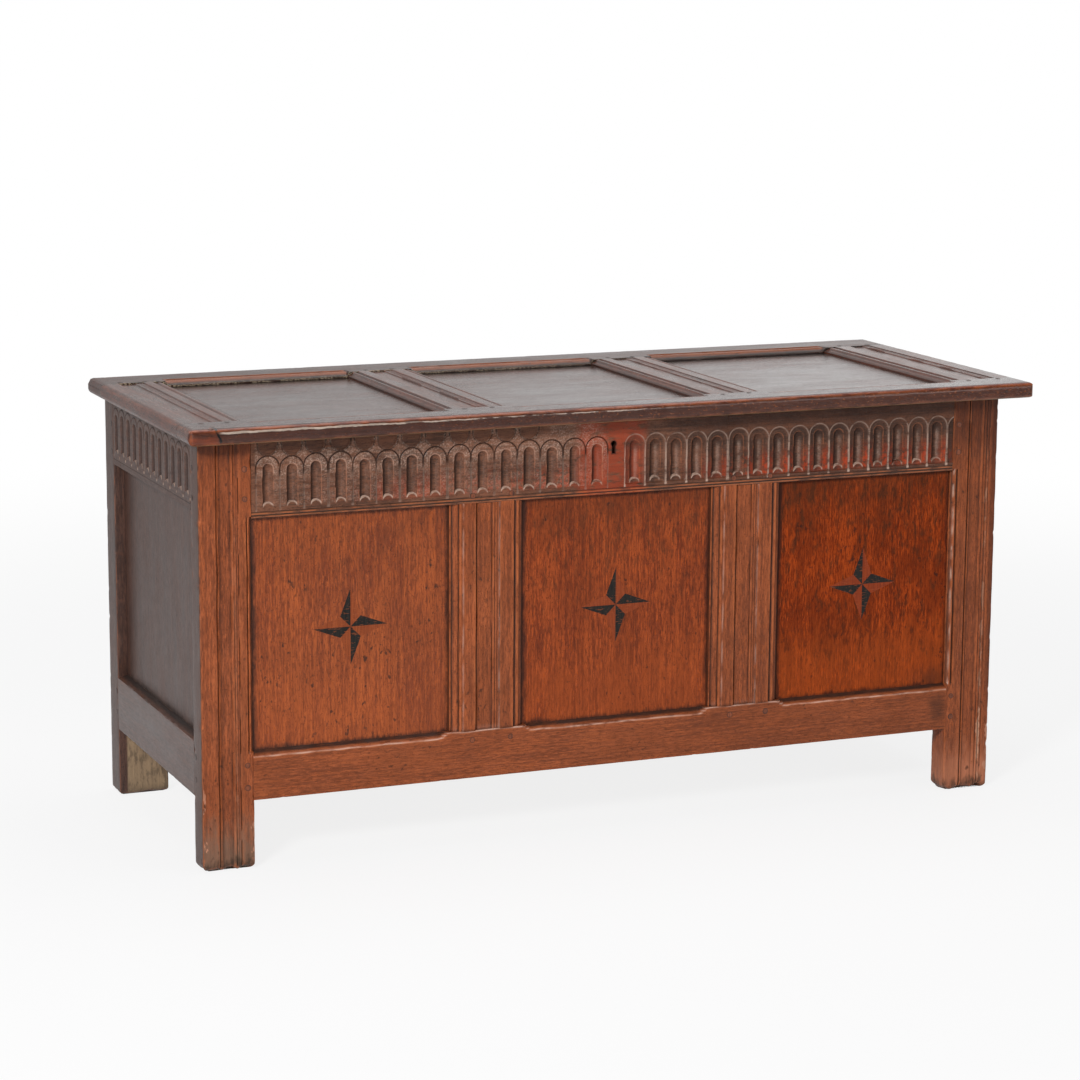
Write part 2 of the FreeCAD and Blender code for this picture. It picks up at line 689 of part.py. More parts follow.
def front_frame():
    frame = Frame(FRONT_SIDE, S.post_width, S.post_width, [S.left_bay, S.middle_bay, S.right_bay],
                  S.front_recess, S.tenon_length)
    right_start = S.left_flute_start + S.left_flute_run + S.key_block_width
    runs = [(S.left_flute_start, S.left_flute_run, S.left_flute_count),
            (right_start, S.right_flute_run, S.right_flute_count)]
    names = {"bottom": "front_bottom_rail", "muntins": ["front_left_muntin", "front_right_muntin"]}
    low, high, frieze, cuts = full_frame(frame, names, S.front_clearance, S.front_bottom_height,
                                         S.front_top_height, S.top_tenon_over, S.front_splay,
                                         (S.front_flute_foot, runs))
    frame.frieze_cuts = cuts
    frame.frieze_whole = frieze
    frame.opening = (low, high)
    for index, where in enumerate(("left", "middle", "right")):
        bay = frame.bays[index]
        stock = frame.panel(f"front_{where}_panel_stock", bay, low, high)
        middle_x = LEFT + (bay[0] + bay[1]) / 2
        middle_z = (low + high) / 2 + S.star_rise
        face_y = FRONT + S.front_recess + S.panel_slack
        stars = [solid_feature(f"{where}_star_{shade}_inlay", star_slivers(middle_x, face_y, middle_z, shade))
                 for shade in ("dark", "light")]
        for shade, star in zip(("dark", "light"), stars):
            node(f"{where}_star_{shade}", star)
        node(f"front_{where}_panel", cut(f"front_{where}_panel_cut", stock, stars))
    return frame


def side_frame(side, first_post, last_post):
    frame = Frame(side, first_post, last_post, [ZERO], S.side_recess, S.side_tenon_length)
    length = frame.end - frame.start
    names = {"bottom": f"{side.name}_bottom_rail", "muntins": []}
    runs = [(ZERO, length, S.side_flute_count)]
    low, high, frieze, cuts = full_frame(frame, names, S.side_clearance, S.side_bottom_height,
                                         S.side_top_height, S.side_tenon_over, S.side_splay,
                                         (S.side_flute_foot, runs))
    node(f"{side.name}_frieze_rail", cut(f"{side.name}_frieze_cut", frieze, cuts))
    node(f"{side.name}_panel", frame.panel(f"{side.name}_panel_solid", frame.bays[0], low, high))
    frame.opening = (low, high)
    return frame


def back_frame():
    frame = Frame(BACK_SIDE, S.post_width, S.post_width, [S.right_bay, S.middle_bay, S.left_bay],
                  S.back_recess, S.tenon_length)
    names = {"bottom": "back_bottom_rail", "muntins": ["back_right_muntin", "back_left_muntin"]}
    low, high, top_whole, cuts = full_frame(frame, names, S.back_clearance, S.back_bottom_height,
                                            S.back_top_height, S.top_tenon_over, None, None)
    frame.top_whole = top_whole
    frame.top_cuts = cuts
    frame.opening = (low, high)
    for where, bay in zip(("right", "middle", "left"), frame.bays):
        node(f"back_{where}_panel", frame.panel(f"back_{where}_panel_solid", bay, low, high))
    return frame


def post(label, corner_x, corner_y, depth, ends, extra):
    """A corner post: its mortises are the tenons that enter it, and its holes the pegs."""
    stock = block(label + "_stock", (corner_x, corner_y, ZERO),
                  (corner_x + S.post_width, corner_y + depth, S.carcass_height))
    tools = list(extra)
    for frame, end in ends:
        tools += frame.tenons[end] + frame.post_pegs[end]
    node(label, cut(label + "_cut", stock, tools))


def post_moulds(frame):
    """The moulded arrises of the front posts, stopped at the rails."""
    low, high = frame.opening
    left = arris_mould("left_post_mould", S.post_mould, S.mould_depth, high - low, False)
    FRONT_SIDE.put(left, frame.start - S.post_mould, 0, low)
    right = arris_mould("right_post_mould", S.post_mould, S.mould_depth, high - low, True)
    FRONT_SIDE.put(right, frame.end, 0, low)
    return left, right


def posts(front, right, back, left):
    left_mould, right_mould = post_moulds(front)
    low, high = front.opening
    front_grooves = {end: front.post_groove(end, low - S.groove_depth, high + S.groove_depth)
                     for end in ("first", "last")}
    back_low, back_high = back.opening
    back_grooves = {end: back.post_groove(end, back_low - S.groove_depth, back_high + S.groove_depth)
                    for end in ("first", "last")}
    side_low, side_high = left.opening
    reach = S.groove_depth
    front_of_left = left.post_groove("last", side_low - reach, side_high + reach)
    front_of_right = right.post_groove("first", side_low - reach, side_high + reach)
    back_of_left = left.post_groove("first", ZERO, side_high + reach)
    back_of_right = right.post_groove("last", ZERO, side_high + reach)
    left_channel = channel(FRONT_SIDE, "left_post_channel", S.post_channel_start, S.post_channel_width,
                           ZERO, S.carcass_height)
    right_channel = channel(FRONT_SIDE, "right_post_channel", front.end + S.post_channel_start,
                            S.post_channel_width, ZERO, S.carcass_height)
    back_y = BACK - S.back_post_depth
    right_x = RIGHT - S.post_width
    post("front_left_post", LEFT, FRONT, S.front_post_depth, [(front, "first"), (left, "last")],
         [front_grooves["first"], front_of_left, left_mould] + left_channel)
    post("front_right_post", right_x, FRONT, S.front_post_depth, [(front, "last"), (right, "first")],
         [front_grooves["last"], front_of_right, right_mould] + right_channel)
    post("back_left_post", LEFT, back_y, S.back_post_depth, [(back, "last"), (left, "first")],
         [back_grooves["last"], back_of_left])
    post("back_right_post", right_x, back_y, S.back_post_depth, [(back, "first"), (right, "last")],
         [back_grooves["first"], back_of_right])


def bottom_boards():
    """Boards laid front to back in the rails' grooves, the outer two notched round the posts."""
    inset = S.rail_thickness - S.board_tongue
    start = LEFT + inset
    width = (CARCASS_LENGTH - 2 * inset) / S.board_count
    count = int(S.board_count.value)
    post_boxes = []
    for name, begin, finish in (("left", LEFT, LEFT + S.post_width + S.board_gap),
                                ("right", RIGHT - S.post_width - S.board_gap, RIGHT)):
        front_end = FRONT + S.front_post_depth + S.board_gap
        back_end = BACK - S.back_post_depth - S.board_gap
        post_boxes.append((name + "_front", (begin, FRONT), (finish, front_end)))
        post_boxes.append((name + "_back", (begin, back_end), (finish, BACK)))
    for index in range(count):
        begin = start + index * width
        finish = begin + width
        if index < count - 1:
            finish = finish - S.board_gap
        board = block(f"board_{index}_stock", (begin, FRONT + inset, S.floor_height),
                      (finish, BACK - inset, S.floor_height + S.board_thickness))
        if index in (0, count - 1):
            end = "left" if index == 0 else "right"
            notches = [block(f"board_notch_{name}", (*low, S.floor_height),
                             (*high, S.floor_height + S.board_thickness))
                       for name, low, high in post_boxes if name.startswith(end)]
            board = cut(f"board_{index}_cut", board, notches)
        node(f"bottom_board_{index + 1}", board)


# ---------------------------------------------------------------- iron

def rounded_path(points, radius):
    """A wire of straight runs joined by arcs of one radius."""
    edges = []
    start = points[0]
    for before, corner, after in zip(points, points[1:], points[2:]):
        arriving = (corner - before).normalize()
        leaving = (after - corner).normalize()
        turn = arriving.getAngle(leaving)
        setback = radius * math.tan(turn / 2)
        begin = corner - arriving * setback
        finish = corner + leaving * setback
        inward = (leaving - arriving).normalize()
        middle = corner + inward * (radius / math.cos(turn / 2) - radius)
        edges.append(Part.LineSegment(start, begin).toShape())
        edges.append(Part.Arc(begin, middle, finish).toShape())
        start = finish
    edges.append(Part.LineSegment(start, points[-1]).toShape())
    return Part.Wire(edges)


def bent_wire(points, radius, diameter):
    path = rounded_path(points, radius)
    tangent = (points[1] - points[0]).normalize()
    ring = Part.Wire(Part.makeCircle(diameter / 2, points[0], tangent))
    return path.makePipeShell([ring], True, False)


HINGE_Y = BACK + S.hinge_setback
HINGE_Z = S.carcass_height + S.lid_gap / 2
EYE_RADIUS = S.wire_diameter + S.eye_play
EYE_OUTER = EYE_RADIUS + S.wire_diameter / 2


def hinge_staple(name, middle_x):
    """A wire staple through the back rail: its bar is the hinge's axis, its ends are clenched."""
    slope = math.radians(S.staple_slope.value)
    run = (S.hinge_setback + S.rail_thickness + S.wire_diameter / 2 - S.clench_bite).value
    fall = run * math.tan(slope)
    out = Vector(0, HINGE_Y.value, HINGE_Z.value)
    inside = Vector(0, HINGE_Y.value - run, HINGE_Z.value - fall)
    half = S.staple_half_span.value
    tail = half + S.clench_length.value
    across = [(-tail, inside), (-half, inside), (-half, out), (half, out), (half, inside), (tail, inside)]
    points = [Vector(middle_x.value + offset, 0, 0) + base for offset, base in across]
    return solid_feature(name, bent_wire(points, S.wire_bend.value, S.wire_diameter.value))


def lid_eye(name, middle_x):
    """A ring linked round the staple's bar, with a shank up through the lid, clenched flush on top."""
    centre = Vector(middle_x.value, HINGE_Y.value, HINGE_Z.value)
    ring = Part.makeTorus(EYE_RADIUS.value, S.wire_diameter.value / 2, centre, Vector(1, 0, 0))
    top = LID_TOP.value - S.wire_diameter.value / 2
    foot = centre + Vector(0, 0, EYE_RADIUS.value)
    bend = Vector(centre.x, centre.y, top)
    end = bend - Vector(0, S.clench_length.value + S.wire_bend.value, 0)
    shank = bent_wire([foot, bend, end], S.wire_bend.value, S.wire_diameter.value)
    return solid_feature(name, ring.fuse(shank))


def axis_rod(name, middle_x, half_length, radius):
    """A cutter round the hinge axis."""
    return rod(name, (middle_x - half_length, HINGE_Y, HINGE_Z), radius * 2, half_length * 2, "x")


def hinges():
    """Both hinges; returns what is cut from the back rail and from the lid for them."""
    rail_cuts, lid_cuts = [], []
    for where, offset in (("left", S.left_hinge), ("right", S.right_hinge)):
        middle_x = LEFT + offset
        staple = node(f"{where}_hinge_staple", hinge_staple(f"{where}_staple_wire", middle_x))
        eye = node(f"{where}_lid_eye", lid_eye(f"{where}_eye_wire", middle_x))
        eye_half = S.wire_diameter / 2 + S.notch_air
        eye_notch = EYE_OUTER + S.notch_air
        staple_half = S.staple_half_span + S.wire_diameter / 2 + S.notch_air
        staple_radius = S.wire_diameter / 2 + S.staple_notch
        rail_cuts += [staple, axis_rod(f"{where}_rail_notch", middle_x, eye_half, eye_notch)]
        lid_cuts += [eye, axis_rod(f"{where}_lid_notch", middle_x, eye_half, eye_notch),
                     axis_rod(f"{where}_staple_notch", middle_x, staple_half, staple_radius)]
    return rail_cuts, lid_cuts


def lock():
    """An iron lock behind the frieze rail's inner face.

    Returns what is cut from the rail for it, and where the lid's lock staple comes down.
    """
    inner = FRONT + S.rail_thickness
    plate_back = inner + S.plate_thickness
    middle_x = LEFT + S.lock_middle
    staple_x = middle_x + S.staple_offset
    staple_y = inner - S.staple_setback
    reach = S.staple_leg_gap / 2 + S.lock_wire / 2 + S.staple_air
    recess_front = staple_y - reach
    roof = S.carcass_height - S.recess_roof
    recess = block("lock_recess", (middle_x - S.recess_width / 2, recess_front, roof - S.recess_height),
                   (middle_x + S.recess_width / 2, inner, roof))
    slot_half = S.lock_wire / 2 + S.staple_air
    slot = block("lock_slot", (staple_x - slot_half, recess_front, roof),
                 (staple_x + slot_half, inner, S.carcass_height))
    keyhole = [rod("keyhole_round", (middle_x, FRONT, S.key_height), S.key_round, recess_front - FRONT, "y"),
               block("keyhole_slot", (middle_x - S.key_slot / 2, FRONT, S.key_height - S.key_drop),
                     (middle_x + S.key_slot / 2, recess_front, S.key_height))]

    plate_top = S.carcass_height - S.plate_top_gap
    plate_low = plate_top - S.plate_height
    left_x = middle_x - S.plate_width / 2
    nails = []
    for x in (left_x + S.nail_inset, left_x + S.plate_width - S.nail_inset):
        for z in (plate_low + S.nail_inset, plate_top - S.nail_inset):
            count = len(nails)
            shank = rod(f"lock_nail_{count}_shank", (x, plate_back - S.nail_length, z),
                        S.nail_diameter, S.nail_length, "y")
            head = rod(f"lock_nail_{count}_head", (x, plate_back, z), S.nail_head, S.nail_head_height, "y")
            nails.append(fuse(f"lock_nail_{count}", [shank, head]))
    plate = block("lock_plate_stock", (left_x, inner, plate_low),
                  (left_x + S.plate_width, plate_back, plate_top))
    node("lock_plate", cut("lock_plate_cut", plate, nails))
    node("lock_nails", group("lock_nail_group", nails))

    bolt_end = staple_x - S.lock_wire / 2 - S.bolt_start_gap
    bolt_start = bolt_end - S.bolt_length
    bolt_top = roof - S.bolt_drop
    bolt_low = bolt_top - S.bolt_height
    near_y, far_y = staple_y - S.bolt_width / 2, staple_y + S.bolt_width / 2
    node("lock_bolt", block("lock_bolt_solid", (bolt_start, near_y, bolt_low), (bolt_end, far_y, bolt_top)))
    wall = S.guide_air + S.guide_wall
    air = S.guide_air
    runway = block("bolt_runway", (bolt_start - air, near_y - air, bolt_low - air),
                   (bolt_end + air, far_y + air, bolt_top + air))
    guides = []
    for spot in (0.2, 0.7):
        x = bolt_start + spot * S.bolt_length
        guides.append(block(f"bolt_guide_{len(guides)}", (x, near_y - wall, bolt_low - wall),
                            (x + S.guide_width, inner, bolt_top + wall)))
    node("lock_guides", cut("lock_guides_cut", group("lock_guide_pair", guides), [runway]))
    return [recess, slot] + keyhole + nails, staple_x, staple_y


def lock_staple(staple_x, staple_y):
    """The loop that hangs from a plate let into the lid's underside, for the bolt to pass through.

    Returns what is cut from the lid for it.
    """
    half = S.staple_leg_gap.value / 2
    low = LID_UNDER.value - S.staple_drop.value + S.lock_wire.value / 2
    top = LID_UNDER.value + S.staple_plate_thickness.value / 2
    points = [Vector(staple_x.value, staple_y.value + offset, height)
              for offset, height in ((-half, top), (-half, low), (half, low), (half, top))]
    loop = solid_feature("lock_staple_loop", bent_wire(points, S.wire_bend.value, S.lock_wire.value))
    plate_top = LID_UNDER + S.staple_plate_thickness
    half_length, half_width = S.staple_plate_length / 2, S.staple_plate_width / 2
    plate = block("staple_plate", (staple_x - half_length, staple_y - half_width, LID_UNDER),
                  (staple_x + half_length, staple_y + half_width, plate_top))
    tack_y = staple_y - half_width + S.tack_edge + S.tack_head / 2
    tacks = []
    for side in (-1, 1):
        x = staple_x + side * (half_length - S.tack_inset)
        head = rod(f"tack_head_{side + 1}", (x, tack_y, LID_UNDER), S.tack_head,
                   S.staple_plate_thickness, "z")
        shank = rod(f"tack_shank_{side + 1}", (x, tack_y, plate_top), S.tack_diameter, S.tack_length, "z")
        tacks.append(fuse(f"tack_{side + 1}", [head, shank]))
    node("lid_lock_staple", cut("lock_staple_cut", fuse("lock_staple_whole", [loop, plate]), tacks))
    node("lid_staple_tacks", group("staple_tack_group", tacks))
    return [plate] + tacks


# ---------------------------------------------------------------- lid

def rounded_lid():
    """The lid's outer form: rounded along the front and both ends."""
    body = DOC.addObject("PartDesign::Body", "lid_form")
    face = outline(body, "lid_form_plan", "XY_Plane",
                   [(0, 0), (LID_LENGTH, 0), (LID_LENGTH, LID_DEPTH), (0, LID_DEPTH)])
    pad = body.newObject("PartDesign::Pad", "lid_form_pad")
    pad.Profile = face
    bind(pad, "Length", S.lid_thickness)
    DOC.recompute()
    chosen = []
    for index, edge in enumerate(pad.Shape.Edges, start=1):
        middle = edge.CenterOfMass
        on_back = abs(middle.y - LID_DEPTH.value) < 0.01
        if not on_back:
            chosen.append(f"Edge{index}")
    nosing = body.newObject("PartDesign::Fillet", "lid_nosing")
    nosing.Base = (pad, chosen)
    bind(nosing, "Radius", S.nosing_radius)
    body.Tip = nosing
    return put(body, LID_LEFT, LID_FRONT, LID_UNDER)


def lid_mould_section(edge_first):
    """The section of the lid's moulded arrises, with the top face at the mould's full depth."""
    width, depth = S.lid_mould, S.lid_mould_depth
    profile = [(0, 0), (0, 1), (1, 1), (0.86, 0.7), (0.35, 0.55)]
    if edge_first:
        return [(width * across, depth * up) for across, up in profile]
    return [(width * (1 - across), depth * up) for across, up in profile]


def cross_mould(name, low_x, edge_first):
    """A cutter along Y for the moulded arris of a stile or muntin beside a panel."""
    length = LID_DEPTH - S.lid_front_rail - S.lid_back_rail
    mould = prism(name, lid_mould_section(edge_first), length, "y")
    return put(mould, low_x, LID_FRONT + S.lid_front_rail, LID_TOP - S.lid_mould_depth)


def long_mould(name, low_x, length, at_back):
    """A cutter along X for the moulded arris of a lid rail beside a panel."""
    low_y = LID_FRONT + S.lid_front_rail - S.lid_mould
    if at_back:
        low_y = LID_FRONT + LID_DEPTH - S.lid_back_rail
    mould = prism(name, lid_mould_section(at_back), length, "x")
    return put(mould, low_x, low_y, LID_TOP - S.lid_mould_depth)


def lid(hinge_cuts, lock_cuts):
    form = rounded_lid()
    back_edge = LID_FRONT + LID_DEPTH
    near_y = LID_FRONT + S.lid_front_rail
    far_y = back_edge - S.lid_back_rail
    groove_top = LID_TOP - S.lid_panel_drop
    groove_low = groove_top - S.groove_width
    lid_right = LID_LEFT + LID_LENGTH
    first = LID_LEFT + S.lid_left_stile
    second = first + S.lid_left_bay + S.lid_muntin
    third = second + S.lid_middle_bay + S.lid_muntin
    bays = [(first, first + S.lid_left_bay), (second, second + S.lid_middle_bay),
            (third, third + S.lid_right_bay)]
    bars = {"lid_left_stile": (LID_LEFT, bays[0][0]), "lid_left_muntin": (bays[0][1], bays[1][0]),
            "lid_right_muntin": (bays[1][1], bays[2][0]), "lid_right_stile": (bays[2][1], lid_right)}

    tenons, pegs = [], []
    bar_solids = {}
    for label, (begin, finish) in bars.items():
        parts = [block(label + "_stock", (begin, near_y, LID_UNDER), (finish, far_y, LID_TOP))]
        cuts = []
        low_x, high_x = begin + S.lid_tenon_shoulder, finish - S.lid_tenon_shoulder
        for end, edge, reach in (("front", near_y, -1), ("back", far_y, 1)):
            span = sorted((edge, edge + reach * S.lid_tenon_length), key=lambda length: length.value)
            tenon = block(f"{label}_{end}_tenon", (low_x, span[0], groove_low), (high_x, span[1], groove_top))
            parts.append(tenon)
            tenons.append(tenon)
            for spot, x in (("a", low_x + S.lid_peg_edge), ("b", high_x - S.lid_peg_edge)):
                peg = rod(f"{label}_{end}_peg_{spot}", (x, edge + reach * S.lid_peg_inset, LID_UNDER),
                          S.peg_diameter, S.lid_thickness, "z")
                pegs.append(peg)
                cuts.append(peg)
        if label != "lid_left_stile":
            cuts.append(block(label + "_groove_left", (begin, near_y, groove_low),
                              (begin + S.groove_depth, far_y, groove_top)))
            cuts.append(cross_mould(label + "_mould_left", begin, True))
        if label != "lid_right_stile":
            cuts.append(block(label + "_groove_right", (finish - S.groove_depth, near_y, groove_low),
                              (finish, far_y, groove_top)))
            cuts.append(cross_mould(label + "_mould_right", finish - S.lid_mould, False))
        start = begin + S.lid_channel_start
        band = start + S.lid_channel_width - S.reed_band
        cuts.append(block(label + "_channel", (start, near_y, LID_TOP - S.channel_depth),
                          (band, far_y, LID_TOP)))
        cuts.append(block(label + "_reeds", (band, near_y, LID_TOP - S.reed_depth),
                          (band + S.reed_band, far_y, LID_TOP)))
        bar_solids[label] = (parts, cuts)

    for label, (parts, cuts) in bar_solids.items():
        whole = common(label + "_nosed", [fuse(label + "_whole", parts), form])
        node(label, cut(label + "_cut", whole, cuts))

    rails = {"lid_front_rail": (LID_FRONT, near_y, near_y - S.groove_depth, near_y),
             "lid_back_rail": (far_y, back_edge, far_y, far_y + S.groove_depth)}
    for label, (low_y, high_y, groove_near, groove_far) in rails.items():
        at_back = label == "lid_back_rail"
        stock = block(label + "_stock", (LID_LEFT, low_y, LID_UNDER), (lid_right, high_y, LID_TOP))
        cuts = [block(label + "_groove", (bays[0][0] - S.groove_depth, groove_near, groove_low),
                      (bays[2][1] + S.groove_depth, groove_far, groove_top))]
        cuts += [long_mould(f"{label}_mould_{index}", begin, finish - begin, at_back)
                 for index, (begin, finish) in enumerate(bays)]
        cuts += tenons + pegs
        cuts += hinge_cuts if at_back else lock_cuts
        node(label, cut(label + "_cut", common(label + "_nosed", [stock, form]), cuts))

    reach = S.groove_depth - S.panel_edge_gap
    for where, (begin, finish) in zip(("left", "middle", "right"), bays):
        node(f"lid_{where}_panel",
             block(f"lid_{where}_panel_solid", (begin - reach, near_y - reach, groove_low + S.panel_slack),
                   (finish + reach, far_y + reach, groove_top - S.panel_slack)))
    node("lid_pegs", group("lid_peg_group", pegs))


# ---------------------------------------------------------------- the whole coffer

def build():
    front = front_frame()
    right = side_frame(RIGHT_SIDE, S.front_post_depth, S.back_post_depth)
    back = back_frame()
    left = side_frame(LEFT_SIDE, S.back_post_depth, S.front_post_depth)
    posts(front, right, back, left)
    bottom_boards()
    rail_cuts, lid_cuts = hinges()
    lock_cuts, staple_x, staple_y = lock()
    node("front_frieze_rail", cut("front_frieze_cut", front.frieze_whole, front.frieze_cuts + lock_cuts))
    node("back_top_rail", cut("back_top_cut", back.top_whole, back.top_cuts + rail_cuts))
    lid(lid_cuts, lock_staple(staple_x, staple_y))
    node("front_pegs", group("front_peg_group", front.pegs))
    node("side_pegs", group("side_peg_group", left.pegs + right.pegs))
    node("back_pegs", group("back_peg_group", back.pegs))
    DOC.recompute()


def check():
    """Stop before writing if any feature failed or any piece is empty or broken."""
    for thing in DOC.Objects:
        for state in thing.State:
            if state in ("Invalid", "Error"):
                raise RuntimeError(f"{thing.Name} is {state}")
    for label, thing in NODES.items():
        if thing.Shape.isNull() or not thing.Shape.isValid() or not thing.Shape.Solids:
            raise RuntimeError(f"{label} has no sound shape")


def write():
    os.makedirs("parts", exist_ok=True)
    for label, thing in NODES.items():
        thing.Shape.exportStep(f"parts/{label}.step")
        print(f"{label}: {len(thing.Shape.Solids)} solids, {thing.Shape.Volume / 1000:.1f} cm3")


build()
check()
write()
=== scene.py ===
"""Dresses a joined oak coffer: moulded members, fluted friezes, inlaid stars, pegs and old polish."""

import math

import bmesh
import bpy
import numpy as np
from mathutils import Matrix, Vector


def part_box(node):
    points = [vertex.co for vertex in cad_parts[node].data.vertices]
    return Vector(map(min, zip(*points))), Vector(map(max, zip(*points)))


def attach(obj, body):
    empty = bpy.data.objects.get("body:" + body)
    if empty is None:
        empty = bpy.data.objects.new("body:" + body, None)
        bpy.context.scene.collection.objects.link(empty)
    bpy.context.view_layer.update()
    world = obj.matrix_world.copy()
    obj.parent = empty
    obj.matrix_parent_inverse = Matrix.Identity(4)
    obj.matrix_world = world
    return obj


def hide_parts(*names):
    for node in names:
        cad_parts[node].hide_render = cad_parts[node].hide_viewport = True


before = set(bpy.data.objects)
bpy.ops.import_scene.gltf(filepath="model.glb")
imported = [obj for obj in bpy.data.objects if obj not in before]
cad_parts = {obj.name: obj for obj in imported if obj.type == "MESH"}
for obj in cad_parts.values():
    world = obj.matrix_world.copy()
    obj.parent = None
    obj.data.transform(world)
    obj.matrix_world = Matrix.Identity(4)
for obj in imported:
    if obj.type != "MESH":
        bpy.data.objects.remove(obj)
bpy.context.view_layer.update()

bl_info = {
    "name": "Joined oak coffer",
    "version": (1, 0, 0),
    "blender": (4, 5, 0),
    "location": "View3D > Sidebar > Coffer",
    "description": "Shapes and finishes the members, carving, inlay and lid of a joined oak coffer",
    "category": "Object",
}

AXES = "XYZ"
MM = 1000.0              # millimetres in a metre
FRIEZE_SPLIT = 583       # from the left post to where the left run of the front frieze ends
BACKING_FROM = 9         # how far behind a carved face the plain wood starts
SKIRT = 0.0105           # how far the sides of a carved face go back, in metres
RAW_FROM = 20            # how far behind the face of a side rail the polish ends
KEYHOLE = (-0.017, 0.603, 0.0042, 0.005, 0.588)    # middle x and z, radius, slot and foot, in metres


def paint(red, green, blue):
    """A colour given in the 0 to 255 numbers of a paint chart, as linear light."""
    def linear(part):
        part /= 255
        return part / 12.92 if part <= 0.04045 else ((part + 0.055) / 1.055) ** 2.4
    return tuple(linear(part) for part in (red, green, blue))


# ---------------------------------------------------------------- what a user would change

def length_prop(name, default, description):
    return bpy.props.FloatProperty(name=name, default=default, description=description, min=0,
                                   unit="LENGTH", precision=4)


def colour_prop(name, default, description):
    return bpy.props.FloatVectorProperty(name=name, default=default, description=description,
                                         subtype="COLOR", size=3, min=0, max=1)


class CofferSizes(bpy.types.PropertyGroup):
    arris: length_prop("Arris", 0.0018, "Radius worn on the long edges of the members")
    nosing: length_prop("Nosing", 0.009, "Radius round the edge of the lid")
    channel_depth: length_prop("Channel depth", 0.0026, "Depth of the sunk channels in uprights")
    mould_depth: length_prop("Mould depth", 0.007, "Fall of the moulded edges beside the panels")
    flute_width: length_prop("Flute width", 0.0168, "Width of a scooped flute in the friezes")
    flute_depth: length_prop("Flute depth", 0.0052, "Depth of a scooped flute in the friezes")
    crown: length_prop("Flute height", 0.064, "Foot to crown of a scooped flute")
    outline_depth: length_prop("Outline depth", 0.0018, "Depth of the line cut round each flute")
    carving_step: length_prop("Carving step", 0.0009, "Spacing of the points that carry the carving")
    peg: length_prop("Peg", 0.009, "Diameter of the oak pegs")
    peg_proud: length_prop("Peg stand", 0.0006, "How far a peg's worn head stands out")


class CofferColours(bpy.types.PropertyGroup):
    panel_light: colour_prop("Panel, light", paint(172, 86, 42), "Bright grain of the front panels")
    panel_dark: colour_prop("Panel, dark", paint(126, 58, 30), "Dark grain of the front panels")
    frame_light: colour_prop("Frame, light", paint(172, 91, 51), "Bright grain of the front frame")
    frame_dark: colour_prop("Frame, dark", paint(126, 65, 37), "Dark grain of the front frame")
    frieze_light: colour_prop("Frieze, light", paint(132, 86, 64), "Bright grain of the front frieze")
    frieze_dark: colour_prop("Frieze, dark", paint(78, 52, 40), "Dark grain of the front frieze")
    side_light: colour_prop("Side, light", paint(92, 62, 50), "Bright grain of the sides")
    side_dark: colour_prop("Side, dark", paint(66, 45, 38), "Dark grain of the sides")
    lid_light: colour_prop("Lid, light", paint(92, 50, 36), "Bright grain of the lid")
    lid_dark: colour_prop("Lid, dark", paint(54, 34, 28), "Dark grain of the lid")
    raw_light: colour_prop("Raw, light", paint(168, 132, 94), "Bright grain of unpolished oak")
    raw_dark: colour_prop("Raw, dark", paint(110, 80, 54), "Dark grain of unpolished oak")
    grime_and_shade: colour_prop("Grime and shade", paint(36, 26, 22), "Old wax and dirt in the hollows")
    rubbed: colour_prop("Rubbed", paint(206, 116, 66), "Edges rubbed back to the wood")
    chalk: colour_prop("Chalk", paint(204, 174, 156), "Pale bloom on the carving")
    bog_oak: colour_prop("Bog oak", paint(38, 34, 29), "Dark halves of the stars")
    inlay: colour_prop("Pale inlay", paint(158, 78, 40), "Light halves of the stars")
    iron: colour_prop("Iron", paint(58, 52, 48), "Hinges and lock")
    floor: colour_prop("Floor", (0.86, 0.86, 0.87), "Plain pale floor")


# ---------------------------------------------------------------- node trees written as sums

class Link:
    """A socket in a node tree, so that a sum on it can be written as a sum."""

    def __init__(self, tree, socket):
        self.tree, self.socket = tree, socket

    def math(self, operation, *values):
        return self.tree.node("ShaderNodeMath", {"operation": operation}, dict(enumerate(values)))

    def __add__(self, other):
        return self.math("ADD", self, other)

    def __sub__(self, other):
        return self.math("SUBTRACT", self, other)

    def __rsub__(self, other):
        return self.math("SUBTRACT", other, self)

    def __mul__(self, other):
        return self.math("MULTIPLY", self, other)

    def __truediv__(self, other):
        return self.math("DIVIDE", self, other)

    def __lt__(self, other):
        return self.math("LESS_THAN", self, other)

    def __gt__(self, other):
        return self.math("GREATER_THAN", self, other)

    __radd__ = __add__
    __rmul__ = __mul__

    def least(self, other):
        return self.math("MINIMUM", self, other)

    def most(self, other):
        return self.math("MAXIMUM", self, other)

    def size(self):
        return self.math("ABSOLUTE", self)

    def floor(self):
        return self.math("FLOOR", self)

    def root(self):
        return self.math("SQRT", self)

    def step(self, low, high):
        """Nought below low and one above high, with a soft change between; low may be the greater."""
        return self.tree.node("ShaderNodeMapRange", {"interpolation_type": "SMOOTHSTEP"},
                              {0: self, 1: low, 2: high, 3: 0.0, 4: 1.0})


